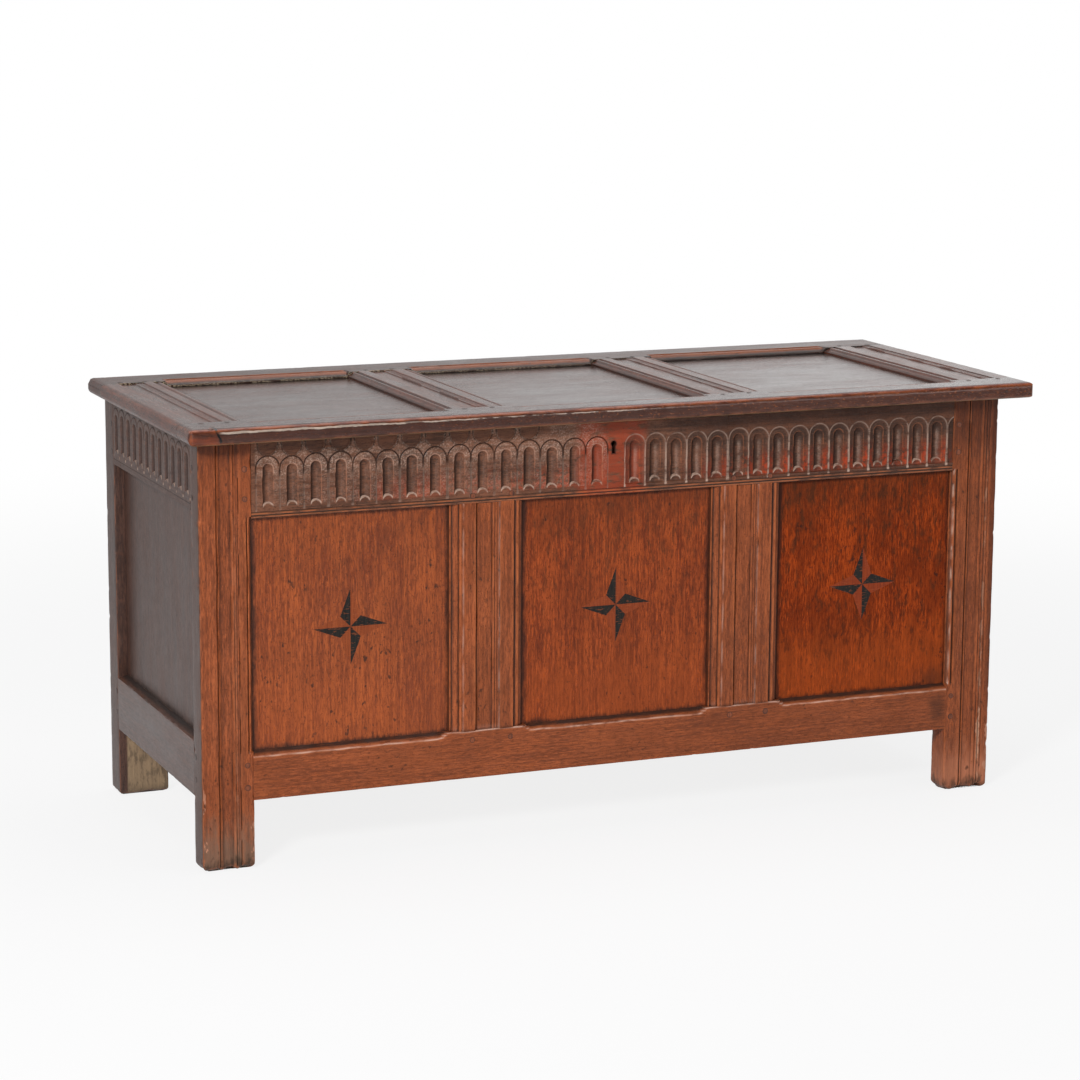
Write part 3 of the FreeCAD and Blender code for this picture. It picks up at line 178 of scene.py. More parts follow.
class Tree:
    """The nodes of one material or of one shape."""

    def __init__(self, tree):
        self.tree = tree

    def node(self, kind, settings=None, inputs=None, output=0):
        made = self.tree.nodes.new(kind)
        for key, value in (settings or {}).items():
            setattr(made, key, value)
        for key, value in (inputs or {}).items():
            if isinstance(value, Link):
                self.tree.links.new(value.socket, made.inputs[key])
            else:
                made.inputs[key].default_value = value
        return Link(self, made.outputs[output]) if made.outputs else made

    def vector(self, operation, first, second):
        return self.node("ShaderNodeVectorMath", {"operation": operation}, {0: first, 1: second})

    def parts(self, vector):
        split = self.node("ShaderNodeSeparateXYZ", {}, {0: vector})
        return [Link(self, socket) for socket in split.socket.node.outputs]

    def blend(self, factor, first, second):
        """The second colour laid over the first."""
        under, over = [value if isinstance(value, Link) else (*value, 1.0) for value in (first, second)]
        return self.node("ShaderNodeMix", {"data_type": "RGBA"}, {0: factor, 6: under, 7: over}, 2)

    def noise(self, vector, detail=2.0, roughness=0.55, distortion=0.0):
        values = {"Vector": vector, "Scale": 1.0, "Detail": detail, "Roughness": roughness,
                  "Distortion": distortion}
        return self.node("ShaderNodeTexNoise", {"noise_dimensions": "3D"}, values)

    def attribute(self, name):
        return self.node("ShaderNodeAttribute", {"attribute_name": name}, {}, 2)

    def place(self):
        """The place in metres, along the axes of the piece or of the surround."""
        return self.node("ShaderNodeTexCoord", {}, {}, "Object")

    def millimetres(self):
        return self.vector("MULTIPLY", self.place(), (MM, MM, MM))

    def bump(self, height, strength=0.8):
        return self.node("ShaderNodeBump", {}, {"Strength": strength, "Distance": 0.001, "Height": height})

    def stored(self, shape, name, value):
        """A shape that carries a value at each of its points."""
        return self.node("GeometryNodeStoreNamedAttribute", {"data_type": "FLOAT", "domain": "POINT"},
                         {"Geometry": shape, "Name": name, "Value": value})

    def moved(self, shape, rise):
        """A shape whose points are moved along Z."""
        offset = self.node("ShaderNodeCombineXYZ", {}, {2: rise})
        return self.node("GeometryNodeSetPosition", {}, {"Geometry": shape, "Offset": offset})

    def end(self, shape, material):
        """Makes real what is instanced, gives it its material and hands it out."""
        shape = self.node("GeometryNodeRealizeInstances", {}, {0: shape})
        shape = self.node("GeometryNodeSetMaterial", {}, {"Geometry": shape, "Material": material})
        self.node("NodeGroupOutput", {}, {0: shape})


def stretched(grain, fine, long):
    """Draws a pattern out along the grain, from its two sizes in millimetres."""
    return tuple((1 / long if axis == grain else 1 / fine) for axis in AXES)


def crumbs(x, y, z, roughness):
    """Small knocks and crumbs, as large as the parts of the place are scaled."""
    return x.tree.noise(x.tree.node("ShaderNodeCombineXYZ", {}, {0: x, 1: y, 2: z}), 1, roughness)


def emptied(block):
    """The tree of a material or of the surround, cleared of its usual nodes."""
    block.use_nodes = True
    block.node_tree.nodes.clear()
    return Tree(block.node_tree)


def new_material(name):
    material = bpy.data.materials.new(name)
    return material, emptied(material)


def surface(t, values):
    shader = t.node("ShaderNodeBsdfPrincipled", {}, values)
    t.node("ShaderNodeOutputMaterial", {}, {"Surface": shader})


def scaled(colour, share):
    return tuple(part * share for part in colour)


def tones(wood, share=1.0):
    """The bright and the dark grain of one of the coffer's woods."""
    colours = bpy.context.scene.coffer_colours
    return [scaled(getattr(colours, f"{wood}_{tone}"), share) for tone in ("light", "dark")]


def oak(name, light, dark, grain, seed=0, polish=0.36, wear=1.0, grime_and_shade=1.0, chalk=0.0, window=None,
        inner=None, figure=1.0, coat=0.12, stain=0.6, patches=(), dust_and_highlight=None, relief=1.0, shine=0.5,
        cloud=0.15, vivid=1.0):
    """Old oak. The window is the seen part of a panel, and inner the side that was never polished.

    Each patch is a function of the place that says where its colour lies.
    """
    colours = bpy.context.scene.coffer_colours
    material, t = new_material(name)
    mm = t.millimetres()
    here = t.vector("ADD", mm, (seed * 137.0, seed * 71.0, seed * 53.0))
    place = x, y, z = t.parts(mm)

    def grained(fine, long, *kind):
        return t.noise(t.vector("MULTIPLY", here, stretched(grain, fine, long)), *kind)

    drift, growth = grained(46, 130, 3, 0.6), grained(3.4, 150, 3, 0.6, 0.15)
    fibre, pore = grained(2.2, 16, 3, 0.7), grained(1.6, 9, 1, 0.5)
    spot, rub = grained(7.5, 11, 2, 0.5), grained(9, 26, 3, 0.65)
    broad, roll = grained(75, 120, 2, 0.6), grained(24, 75, 1, 0.4)
    fleck = grained(2.1, 3.2, 1, 0.5)
    open_pore = pore.step(0.54, 0.70)

    tone = (growth * (0.55 * figure) + drift * (1 - 0.55 * figure)).step(0.36, 0.64)
    colour = t.blend(tone, dark, light)
    bright = [min(1.0, part) for part in scaled(light, 1.3)]
    colour = t.blend(fibre.step(0.49, 0.36) * (0.5 * vivid), colour, bright)
    for where, depth in ((fibre.step(0.51, 0.64) * (0.5 * vivid), 0.6), (open_pore * (0.42 * vivid), 0.4),
                         ((drift * 0.5 + broad * 0.5).step(0.46, 0.58) * cloud, 0.62),
                         (fleck.step(0.63, 0.71) * 0.55, 0.35)):
        colour = t.blend(where, colour, scaled(dark, depth))
    for where, patch in patches:
        mottled = t.blend(tone * 0.5 + fibre * 0.5, scaled(patch, 0.55), patch)
        colour = t.blend(where(x, y, z, rub), colour, mottled)
    blot = spot.step(0.62, 0.72) * drift.step(0.46, 0.60) * stain
    colour = t.blend(blot, colour, colours.grime_and_shade[:])

    dirt_and_shade = (t.attribute("hollow") * (rub * 0.9 + 0.55)).least(1.0) * grime_and_shade
    if window is not None:
        (across, left, right), (up, foot, head) = window
        # Painted shade: the seen part of the panel darkens along its edges next to the frame, in a band that
        # is wider at the low end of its width, the left of a front panel.
        beside = (place[across] - left - 4).least(right - place[across])
        border = beside.least((place[up] - foot).least(head - place[up]))
        border = border + (rub - 0.5) * 16 + (drift - 0.5) * 10
        dirt_and_shade = dirt_and_shade.most(border.step(7.0, -2.0) * 0.9 * grime_and_shade)
    colour = t.blend(dirt_and_shade * 0.88, colour, colours.grime_and_shade[:])
    rubbed = (t.attribute("edge") * rub.step(0.36, 0.60) * wear).least(1.0)
    colour = t.blend(rubbed * 0.62, colour, colours.rubbed[:])
    # The pale marks are chalk and dust, and on some pieces painted highlights as well.
    if chalk:
        pale = (t.attribute("pale") * rub.step(0.26, 0.55) * chalk).least(1.0)
        colour = t.blend(pale, colour, dust_and_highlight or colours.chalk[:])
    rough = polish + (fibre - 0.5) * 0.2 + dirt_and_shade * 0.3 + (rub - 0.5) * 0.16 + (drift - 0.5) * 0.3
    if inner is not None:
        axis, limit, side = inner
        raw = (place[axis] * side).step(limit * side - 1.5, limit * side + 1.5)
        raw_light, raw_dark = tones("raw")
        plain = t.blend(tone, raw_dark, raw_light)
        plain = t.blend(pore.step(0.56, 0.70) * 0.5, plain, scaled(raw_dark, 0.4))
        plain = t.blend(drift.step(0.5, 0.7) * 0.5, plain, paint(92, 74, 58))
        colour = t.blend(raw, colour, plain)
        rough = rough + raw * 0.35
    height = fibre * (0.2 * relief) - open_pore * (0.12 * relief) + roll * (0.55 * relief)
    height = height - spot.step(0.70, 0.80) * 0.35 + growth * (0.16 * relief)
    wax = (rub.step(0.34, 0.64) + 0.45) * coat if coat else 0.0
    surface(t, {"Base Color": colour, "Roughness": rough, "Normal": t.bump(height, 1.0), "IOR": 1.46,
                "Specular IOR Level": shine, "Coat Weight": wax, "Coat Roughness": 0.18, "Coat IOR": 1.45})
    return material


def iron():
    colours = bpy.context.scene.coffer_colours
    material, t = new_material("forged_iron")
    place = t.millimetres()
    scale = t.noise(t.vector("MULTIPLY", place, (0.22, 0.22, 0.22)), 4, 0.7)
    pit = t.noise(t.vector("MULTIPLY", place, (0.9, 0.9, 0.9)), 2, 0.6)
    rust = scale.step(0.50, 0.66)
    colour = t.blend(rust * 0.75, colours.iron[:], paint(96, 56, 36))
    colour = t.blend(pit.step(0.6, 0.72) * 0.6, colour, paint(30, 22, 18))
    surface(t, {"Base Color": colour, "Metallic": 0.85 - rust * 0.6, "Roughness": 0.46 + rust * 0.3,
                "Normal": t.bump(scale * 0.5 + pit * 0.2)})
    return material


def inlay(name, colour, dark):
    material, t = new_material(name)
    place = t.millimetres()
    streak = t.noise(t.vector("MULTIPLY", place, (1 / 1.6, 0.4, 1 / 22)), 3, 0.6)
    nick = t.noise(t.vector("MULTIPLY", place, (1 / 9.0, 1 / 4.0, 1 / 1.8)), 2, 0.6)
    tint = t.blend(streak.step(0.36, 0.66), dark, colour)
    tint = t.blend(nick.step(0.57, 0.68) * 0.4, tint, tones("panel")[0])
    surface(t, {"Base Color": tint, "Roughness": 0.34 + (nick - 0.5) * 0.2, "Specular IOR Level": 0.25,
                "Normal": t.bump(streak * 0.3 - nick.step(0.6, 0.7) * 0.3)})
    return material


# ---------------------------------------------------------------- shapes

def smooth(value, low, high):
    share = np.clip((value - low) / (high - low), 0, 1)
    return share * share * (3 - 2 * share)


def within(value, low, high, soft):
    """One between two ends, with a soft change outside them."""
    return smooth(value, low - soft, low) * (1 - smooth(value, high, high + soft))


def quirk(u, at, width, depth):
    """A narrow groove."""
    return depth * np.exp(-(((u - at) / (0.42 * width)) ** 2))


def sunk(u, start, end, depth, soft=0.9):
    """A flat sunk band."""
    return depth * smooth(u, start, start + soft) * (1 - smooth(u, end - soft, end))


def reeds(u, start, end, count, depth):
    """A band of small round reeds, side by side."""
    share = np.clip((u - start) / (end - start), 0, 1) * count
    crest = 1 - np.sqrt(np.clip(1 - (2 * (share % 1) - 1) ** 2, 0, 1))
    return np.where((share > 0) & (share < count), depth * crest, 0)


def ripple(seed, along, size):
    """A slow unevenness from -1 to 1 that never repeats in a member's length."""
    rng = np.random.default_rng(seed)
    total = 0
    for turn in range(5):
        wave = 2 * math.pi / (size * (0.5 + rng.random()))
        total = total + np.sin(along * wave + rng.random() * 6.28) / 3
    return total


def nicks(seed, along, length, depth):
    """Small losses along an arris, one to every 34 millimetres."""
    rng = np.random.default_rng(seed)
    total = np.zeros_like(along)
    for count in range(int(length / 34)):
        middle, spread = rng.random() * length, 1.5 + 5 * rng.random() ** 2
        total += depth * rng.random() ** 2 * np.exp(-(((along - middle) / spread) ** 2))
    return total


def blurred(values, reach):
    """The mean of the neighbourhood across the second direction."""
    kernel = np.exp(-0.5 * (np.arange(-3 * reach, 3 * reach + 1) / reach) ** 2)
    kernel /= kernel.sum()
    padded = np.pad(values, ((0, 0), (3 * reach, 3 * reach)), mode="edge")
    return np.apply_along_axis(lambda row: np.convolve(row, kernel, mode="valid"), 1, padded)


def spaced(length, coarse, near_low, near_high):
    """Positions from 0 to length, a millimetre apart near the ends that are rounded."""
    low = np.arange(0, near_low, 1.0)
    high = length - np.arange(0, near_high, 1.0)[::-1]
    middle = np.linspace(near_low, length - near_high,
                         max(2, int((length - near_low - near_high) / coarse) + 1))
    places = np.concatenate([low, middle, high])
    return np.unique(np.round(places, 4))


def placed(name, data):
    """A new object of the scene."""
    piece = bpy.data.objects.new(name, data)
    bpy.context.scene.collection.objects.link(piece)
    return piece


def add_object(name, points, faces, values=None):
    """A piece from points in millimetres, faces and named values of its points."""
    mesh = bpy.data.meshes.new(name)
    mesh.from_pydata((np.asarray(points, float) / MM).tolist(), [], faces)
    for key, numbers in (values or {}).items():
        layer = mesh.attributes.new(key, "FLOAT", "POINT")
        layer.data.foreach_set("value", np.asarray(numbers, np.float32))
    return placed(name, mesh)


def shade(piece, angle=38):
    """Outward faces, smooth but for the true corners."""
    mesh = piece.data
    work = bmesh.new()
    work.from_mesh(mesh)
    bmesh.ops.recalc_face_normals(work, faces=work.faces[:])
    work.to_mesh(mesh)
    work.free()
    mesh.shade_smooth()
    mesh.set_sharp_from_angle(angle=math.radians(angle))


def extent(node):
    """A node's lowest and highest corners in millimetres."""
    low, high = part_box(node)
    return np.array(low) * MM, np.array(high) * MM


def span(node, **ends):
    """A node's box with some of its ends given: x0, x1, y0, y1, z0 or z1."""
    low, high = extent(node)
    for key, value in ends.items():
        (low if key[1] == "0" else high)["xyz".index(key[0])] = value
    return low, high


def bar(name, low, high, along, out, relief=None, radii=None, ends=(0, 0), open_side=None, step=1.0,
        stride=6.0, seed=1, damage=1.0):
    """A member: its face looks out along an axis such as -Y, and relief gives the depth cut in it.

    The relief may give the dirt and the pale marks on the face as well, some of them painted highlights. The
    radii are those of the arrises:
    face low, face high, back high, back low. The ends may be rounded too, all round but for the open side.
    """
    run, normal = AXES.index(along), AXES.index(out[1])
    side = 3 - run - normal
    width, depth, length = high[side] - low[side], high[normal] - low[normal], high[run] - low[run]
    worn = bpy.context.scene.coffer_sizes.arris * MM
    radii = radii or (worn, worn, worn / 2, worn / 2)
    us = spaced(width, step, 0, 0)
    front = len(us)
    ds = spaced(depth, 9.0, max(radii[0], radii[1]), max(radii[2], radii[3]))
    backs = spaced(width, 14.0, max(1, radii[3]), max(1, radii[2]))
    u0 = np.concatenate([us, np.full(len(ds) - 1, width), backs[::-1][1:], np.zeros(len(ds) - 2)])
    d0 = np.concatenate([np.zeros(front), ds[1:], np.full(len(backs) - 1, depth), ds[::-1][1:-1]])
    stations = spaced(length, stride, ends[0], ends[1])
    s = np.repeat(stations[:, None], len(u0), 1)
    u = np.repeat(u0[None, :], len(stations), 0)
    d = np.repeat(d0[None, :], len(stations), 0)

    arris = np.zeros_like(u)
    for number, radius in enumerate(radii):
        if radius <= 0:
            continue
        far, back = number in (1, 2), number in (2, 3)
        r = radius * (1 + (0.22 if radius < 5 else 0.05) * ripple(seed * 7 + number, stations, 60))
        if radius < 5:
            r = r + nicks(seed * 11 + number, stations, length, 2.4 * damage)
        r = np.clip(r, 0.4, min(width, depth) / 2.2)[:, None]
        a = (width - u) if far else u
        b = (depth - d) if back else d
        qa, qb = np.clip(r - a, 0, None), np.clip(r - b, 0, None)
        reach = np.hypot(qa, qb)
        inside = (qa > 0) & (qb > 0) & (reach > r)
        scale = np.where(inside, r / np.maximum(reach, 1e-9), 1)
        arris = np.maximum(arris, np.where(inside, np.clip((reach / r - 1) / 0.36, 0, 1), 0))
        new_a, new_b = np.where(inside, r - qa * scale, a), np.where(inside, r - qb * scale, b)
        u = (width - new_a) if far else new_a
        d = (depth - new_b) if back else new_b
    for number, radius in enumerate(ends):
        if radius <= 0:
            continue
        c = (length - s) if number else s
        c = c - (damage - 1) * 2.4 * (1 + ripple(seed * 5 + number, u0 + 3 * d0, 22))
        inset = radius - np.sqrt(np.clip(radius ** 2 - np.clip(radius - c, 0, None) ** 2, 0, None))
        if open_side != "low":
            u = np.maximum(u, inset)
        if open_side != "high":
            u = np.minimum(u, width - inset)
        d = np.clip(d, inset, depth - inset)
        arris = np.maximum(arris, np.clip(1 - np.abs(c - radius * 0.3) / (radius * 0.35), 0, 1) * 0.7)

    hollow, pale, edge = np.zeros_like(u), np.zeros_like(u), arris.copy()
    if relief is not None:
        shift = 0.25 * ripple(seed * 3 + 5, stations, 140)[:, None]
        cuts = relief(u[:, :front] + shift, s[:, :front])
        if isinstance(cuts, tuple):
            cuts, hollow[:, :front], pale[:, :front] = cuts
        cavity = cuts - blurred(cuts, max(1, int(round(3.0 / step))))
        # Darker in concave places and deep cuts: grime, and in the deep falls beside the panels partly
        # painted shade as well.
        hollow[:, :front] += np.clip(cavity, 0, 1) + smooth(cuts, 4, 7) * 0.6
        edge[:, :front] += np.clip(-cavity / 0.8, 0, 1) * 0.75
        d[:, :front] += cuts
        for columns, lip in ((slice(front, front + len(ds) - 1), cuts[:, -1:]),
                             (slice(-(len(ds) - 2), None), cuts[:, :1])):
            d[:, columns] = lip + d[:, columns] * (depth - lip) / depth
    places = np.zeros((*u.shape, 3))
    places[..., side] = low[side] + u
    places[..., run] = low[run] + s
    places[..., normal] = high[normal] - d if out[0] == "+" else low[normal] + d
    count, rows = len(u0), len(stations)
    index = np.arange(rows * count).reshape(rows, count)
    here, there = index[:-1], index[1:]
    quads = np.stack([here, np.roll(here, -1, 1), np.roll(there, -1, 1), there], -1).reshape(-1, 4)
    faces = quads.tolist() + [index[0, ::-1].tolist(), index[-1].tolist()]
    piece = add_object(name, places.reshape(-1, 3), faces,
                       {"hollow": np.clip(hollow, 0, 1).ravel(), "edge": np.clip(edge, 0, 1).ravel(),
                        "pale": np.clip(pale, 0, 1).ravel()})
    shade(piece)
    return piece


def settle(piece, material, body, slot, *nodes):
    """Gives a finished piece its material and its body, and hides the nodes that it stands for. The slot is
    not used.
    """
    piece.data.materials.clear()
    piece.data.materials.append(material)
    for face in piece.data.polygons:
        face.material_index = 0
    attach(piece, body)
    if nodes:
        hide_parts(*nodes)


def finish_nodes(material, *nodes):
    for name in nodes:
        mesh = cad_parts[name].data
        mesh.materials.clear()
        mesh.materials.append(material)


def joined(first, second):
    with bpy.context.temp_override(active_object=first, object=first, selected_objects=[first, second],
                                   selected_editable_objects=[first, second]):
        bpy.ops.object.join()
    return first


def close(work):
    """Fills the flat opening that a cut leaves, but for the holes in it."""
    bmesh.ops.triangle_fill(work, use_beauty=True, edges=[edge for edge in work.edges if edge.is_boundary])


def backing(name, node, axis, sign, limit):
    """A copy of a node without what lies beyond a plane, to go behind a new carved face."""
    work = bmesh.new()
    work.from_mesh(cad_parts[node].data)
    bmesh.ops.remove_doubles(work, verts=work.verts[:], dist=1e-6)
    normal = Vector([sign if index == axis else 0 for index in range(3)])
    point = Vector([limit / MM if index == axis else 0 for index in range(3)])
    bmesh.ops.bisect_plane(work, geom=work.verts[:] + work.edges[:] + work.faces[:], plane_co=point,
                           plane_no=normal, clear_outer=True)
    close(work)
    work.verts.index_update()
    mesh = bpy.data.meshes.new(name)
    mesh.from_pydata([vertex.co[:] for vertex in work.verts], [],
                     [[vertex.index for vertex in face.verts] for face in work.faces])
    work.free()
    return placed(name, mesh)


# ---------------------------------------------------------------- shapes grown by geometry nodes

def shape_tree(name, sizes):
    """A tree with named inputs; returns it, its inputs as links and their socket identifiers."""
    group = bpy.data.node_groups.new(name, "GeometryNodeTree")
    group.interface.new_socket("Geometry", in_out="INPUT", socket_type="NodeSocketGeometry")
    group.interface.new_socket("Geometry", in_out="OUTPUT", socket_type="NodeSocketGeometry")
    identifiers = {}
    for label, value in sizes.items():
        kinds = {int: "NodeSocketInt", float: "NodeSocketFloat"}
        kind = kinds.get(type(value), "NodeSocketMaterial")
        socket = group.interface.new_socket(label, in_out="INPUT", socket_type=kind)
        if kind != "NodeSocketMaterial":
            socket.default_value = value
        identifiers[label] = socket.identifier
    t = Tree(group)
    source = t.node("NodeGroupInput").socket.node
    links = {socket.name: Link(t, socket) for socket in source.outputs if socket.name}
    return group, t, links, identifiers


def grown(name, group, identifiers, values, base=None):
    """Runs a tree on an object and keeps the result as a plain mesh."""
    piece = placed(name, base or bpy.data.meshes.new(name))
    modifier = piece.modifiers.new(group.name, "NODES")
    modifier.node_group = group
    for label, value in values.items():
        modifier[identifiers[label]] = value
    view = bpy.context.evaluated_depsgraph_get()
    mesh = bpy.data.meshes.new_from_object(piece.evaluated_get(view), preserve_all_data_layers=True,
                                           depsgraph=view)
    piece.modifiers.clear()
    piece.data = mesh
    mesh.name = name
    return piece


CARVING = {"Length": FRIEZE_SPLIT / MM, "Height": 0.116, "Columns": 649, "Rows": 130, "First": 0.006,
           "Pitch": 0.03717, "Flutes": 15, "Outlines": 15, "Width": 0.019, "Foot": 0.015, "Crown": 0.079,
           "Depth": 0.0042, "Outline": 0.0014, "Scoops": 12, "Bank": 0.0, "Chalk": 1.0, "Line": 0.0,
           "Dot": 0.2, "Roll": 1.0, "Streak": 0.15, "Seed": 3}


def carving_tree():
    """Scooped flutes under round-headed outlines, over a roll mould, on a flat grid that faces +Z."""
    group, t, size, identifiers = shape_tree("fluted_carving", {**CARVING, "Material": None})
    grid = t.node("GeometryNodeMeshGrid", {}, {0: size["Length"], 1: size["Height"], 2: size["Columns"],
                                               3: size["Rows"]})
    place = t.node("GeometryNodeInputPosition")
    px, py, _ = t.parts(place)
    u = (px + size["Length"] * 0.5) * MM
    v = (py + size["Height"] * 0.5) * MM
    pitch, foot = size["Pitch"] * MM, size["Foot"] * MM
    run = (u - size["First"] * MM) / pitch
    cell = run.floor().most(0).least(size["Outlines"] - 1)
    carved = (run > 0) * (run < size["Outlines"])
    fluted = carved * (cell < size["Flutes"] - 0.5)
    chance = t.node("ShaderNodeTexWhiteNoise", {"noise_dimensions": "1D"},
                    {"W": cell + size["Seed"] * 31.7}, 1)
    first, second, third = t.parts(chance)
    mm = t.vector("MULTIPLY", place, (MM, MM, MM))
    rough = t.noise(t.vector("MULTIPLY", mm, (0.16, 0.16, 0.16)), 3, 0.6)
    patch = t.noise(t.vector("MULTIPLY", mm, (0.028, 0.028, 0.028)), 2, 0.5)
    hand = t.noise(t.vector("MULTIPLY", mm, (0.07, 0.045, 0.07)), 1, 0.5) - 0.5

    across = u - size["First"] * MM - (cell + 0.5) * pitch + (first - 0.5) * 1.6 + hand * 1.8
    half = size["Width"] * 500 * (second * 0.12 + 0.93)
    spring = size["Crown"] * MM - size["Width"] * 500 + (third - 0.5) * 2.6
    above = (v - spring).most(0)
    reach = (across * across + above * above).root()
    bowl = ((half - reach) / half).most(0).least(1)
    steep = across.step(1.5, -1.5)
    scoop_out = (1 - (1 - bowl) * (1 - bowl)).most(0).root() * steep + bowl.step(-0.15, 1) * (1 - steep)
    low = v - foot + 1.5
    tongue = (across * across + low * low).root()
    lip = half - 0.5
    trough = scoop_out * tongue.step(lip, lip + 1.5) * v.step(foot - 1.0, foot + 0.5) * fluted
    trough_depth = size["Depth"] * MM * (second * 0.3 + 0.85)

    rim = pitch * 0.5 - 0.55
    head = (v - spring - 1.2).most(0)
    arch = (across * across + head * head).root()
    line = (arch - rim).size().step(1.35, 0.3) * v.step(foot - 4.0, foot - 2.8) * carved
    over = (v - spring - 1.2 - rim - 15.6).least(0)
    bite = (across * across + over * over).root()
    scooped = cell < size["Scoops"] - 0.5
    scoop = bite.step(15.4, 12.6) * scooped * carved
    stop = (bite - 15.4).size().step(1.1, 0.2) * scooped * carved * (v > spring + 8)

    def round_over(middle, half_width):
        share = (v - middle) / half_width
        return 1 - (1 - share * share).most(0).root()

    under = v.step(8.8, 8.2)
    roll = round_over(2.0, 2.0).least(round_over(6.2, 2.2)) * 1.8 * under
    roll = (roll + (v - 8.9).size().step(0.9, 0.2) * 1.1) * size["Roll"]

    crown = v.step(spring - 14, spring - 2)
    inside = (rim - arch).step(0.2, 4.4) * v.step(foot - 3, foot + 1) * carved
    cut = line * (crown * 0.6 + 0.4) * (1 - size["Line"])
    depth = (trough * trough_depth + inside * size["Bank"] * MM).most(cut * size["Outline"] * MM)
    depth = depth.most(scoop * 1.5).most(stop * 1.2) + roll + (rough - 0.5) * 0.4
    depth = depth + (patch.step(0.56, 0.70) * rough.step(0.5, 0.65)) * 0.6

    band = reach.step(half - 0.2, half + 0.7) * arch.step(rim - 0.2, rim - 1.8)
    band = band * v.step(foot, foot + 2) * fluted
    crescent = (tongue - lip - 0.9).size().step(1.35, 0.5) * (bowl > 0.04) * low.step(1.0, 4.0) * fluted
    off_rim = across.size() - rim
    dot = (off_rim - 0.4).size().step(2.6, 1.0) * (v - foot + 3.2).size().step(2.8, 1.0) * carved
    tick = (off_rim + 2.2).size().step(1.7, 0.9) * v.step(104, 106) * scooped
    # Painted shade on the left wall of each trough, the side that faces away from the lamp; the scoops under
    # the lid are darkened partly as painted shade too.
    left_wall_shade = trough * (across / half).step(-0.1, -0.6)
    hollow = cut.most(left_wall_shade * 0.9).most(trough * bowl.step(0.3, 0.05) * 0.4).most(scoop * 0.22)
    hollow = hollow.most(stop * 0.9).most(tick * carved)
    hollow = hollow.most((v - 4.1).size().step(1.2, 0.4) * size["Roll"]).most((v - 8.9).size().step(1.0, 0.3))
    hollow = hollow.most(inside * crown.most(across.step(2, -5)) * size["Bank"] * 230) * (patch * 0.5 + 0.75)
    # The rim of each trough, laid into the edge and the pale marks, is a painted highlight where its arris
    # would catch the lamp, as well as wear.
    rim_light = (reach - half - 0.5).size().step(0.9, 0.3) * v.step(foot - 1, foot + 1) * fluted
    rolls = ((v - 2.2).size().step(1.2, 0.3)).most((v - 6.6).size().step(1.2, 0.3)) * size["Roll"]
    edge = (rim_light * 0.5).most(rolls * 0.9)
    fans = arch.step(rim + 0.8, rim + 2.2) * (1 - scoop) * (v > spring) * carved
    speck = t.noise(t.vector("MULTIPLY", mm, (0.42, 0.42, 0.42)), 2, 0.6).step(0.51, 0.60)
    worn = (rough.step(0.42, 0.56) * 0.2 + 0.08 + speck * 0.8) * patch.step(0.3, 0.5)
    pale = (band * (crown * 0.45 + 0.4) * worn).most(fans * worn * 0.7)
    # Painted highlights: pale specks on the right side of each trough, and on its rim.
    pale = pale.most(trough * across.step(0, half) * speck * 0.4).most(rim_light * (crown * 0.5 + 0.2))
    pale = (pale * size["Chalk"]).most(crescent * 1.1)
    pale = pale.most(line * (size["Line"] + (1 - crown) * 0.22)).most(dot * size["Dot"])
    # Painted highlight: a pale streak down each trough, right of its middle; Streak sets its strength.
    shine = (across - 3.2).size().step(3.8, 0.6) * trough * (speck * 0.4 + 0.6)
    shine = shine * v.step(spring + 2, spring - 10) * size["Streak"]
    pale = pale.most(shine * (patch + 0.35))
    ruddy = band.most(inside * 0.4) * (1 - trough) * v.step(spring - 6, spring - 38) * (cell - 1).step(0, 5)
    ruddy = ruddy * (first + rough.step(0.38, 0.6) - 0.45).most(0).least(1)
    ruddy = ruddy * (1.1 - v.step(foot, spring) * 0.6)

    carved_grid = grid
    for name, value in {"hollow": hollow.least(1), "edge": edge, "pale": pale.least(1),
                        "ruddy": ruddy.least(1)}.items():
        carved_grid = t.stored(carved_grid, name, value)
    t.end(t.moved(carved_grid, depth * -0.001), size["Material"])
    return group, identifiers


def carved_face(name, group, identifiers, sizes, material, corner, across, out, keyhole=None):
    """One carved face, stood up at its lower corner, with sides that go back into the rail."""
    values = {**CARVING, **sizes, "Material": material}
    step = bpy.context.scene.coffer_sizes.carving_step * 1
    values["Columns"] = int(values["Length"] / step) + 2
    values["Rows"] = int(values["Height"] / step) + 2
    piece = grown(name, group, identifiers, values)
    across, out, up = Vector(across), Vector(out), Vector((0, 0, 1))
    turn = Matrix((across, up, out)).transposed().to_4x4()
    middle = across * values["Length"] / 2 + up * values["Height"] / 2
    piece.data.transform(Matrix.Translation(Vector(corner) + middle) @ turn)
    work = bmesh.new()
    work.from_mesh(piece.data)
    if keyhole is not None:
        pierce(work, *keyhole)
    rim = [edge for edge in work.edges if edge.is_boundary]
    made = bmesh.ops.extrude_edge_only(work, edges=rim)["geom"]
    skirt = [item for item in made if isinstance(item, bmesh.types.BMVert)]
    plane = Vector(corner).dot(out) - SKIRT
    for vertex in skirt:
        vertex.co += out * (plane - vertex.co.dot(out))
    close(work)
    work.to_mesh(piece.data)
    work.free()
    return piece


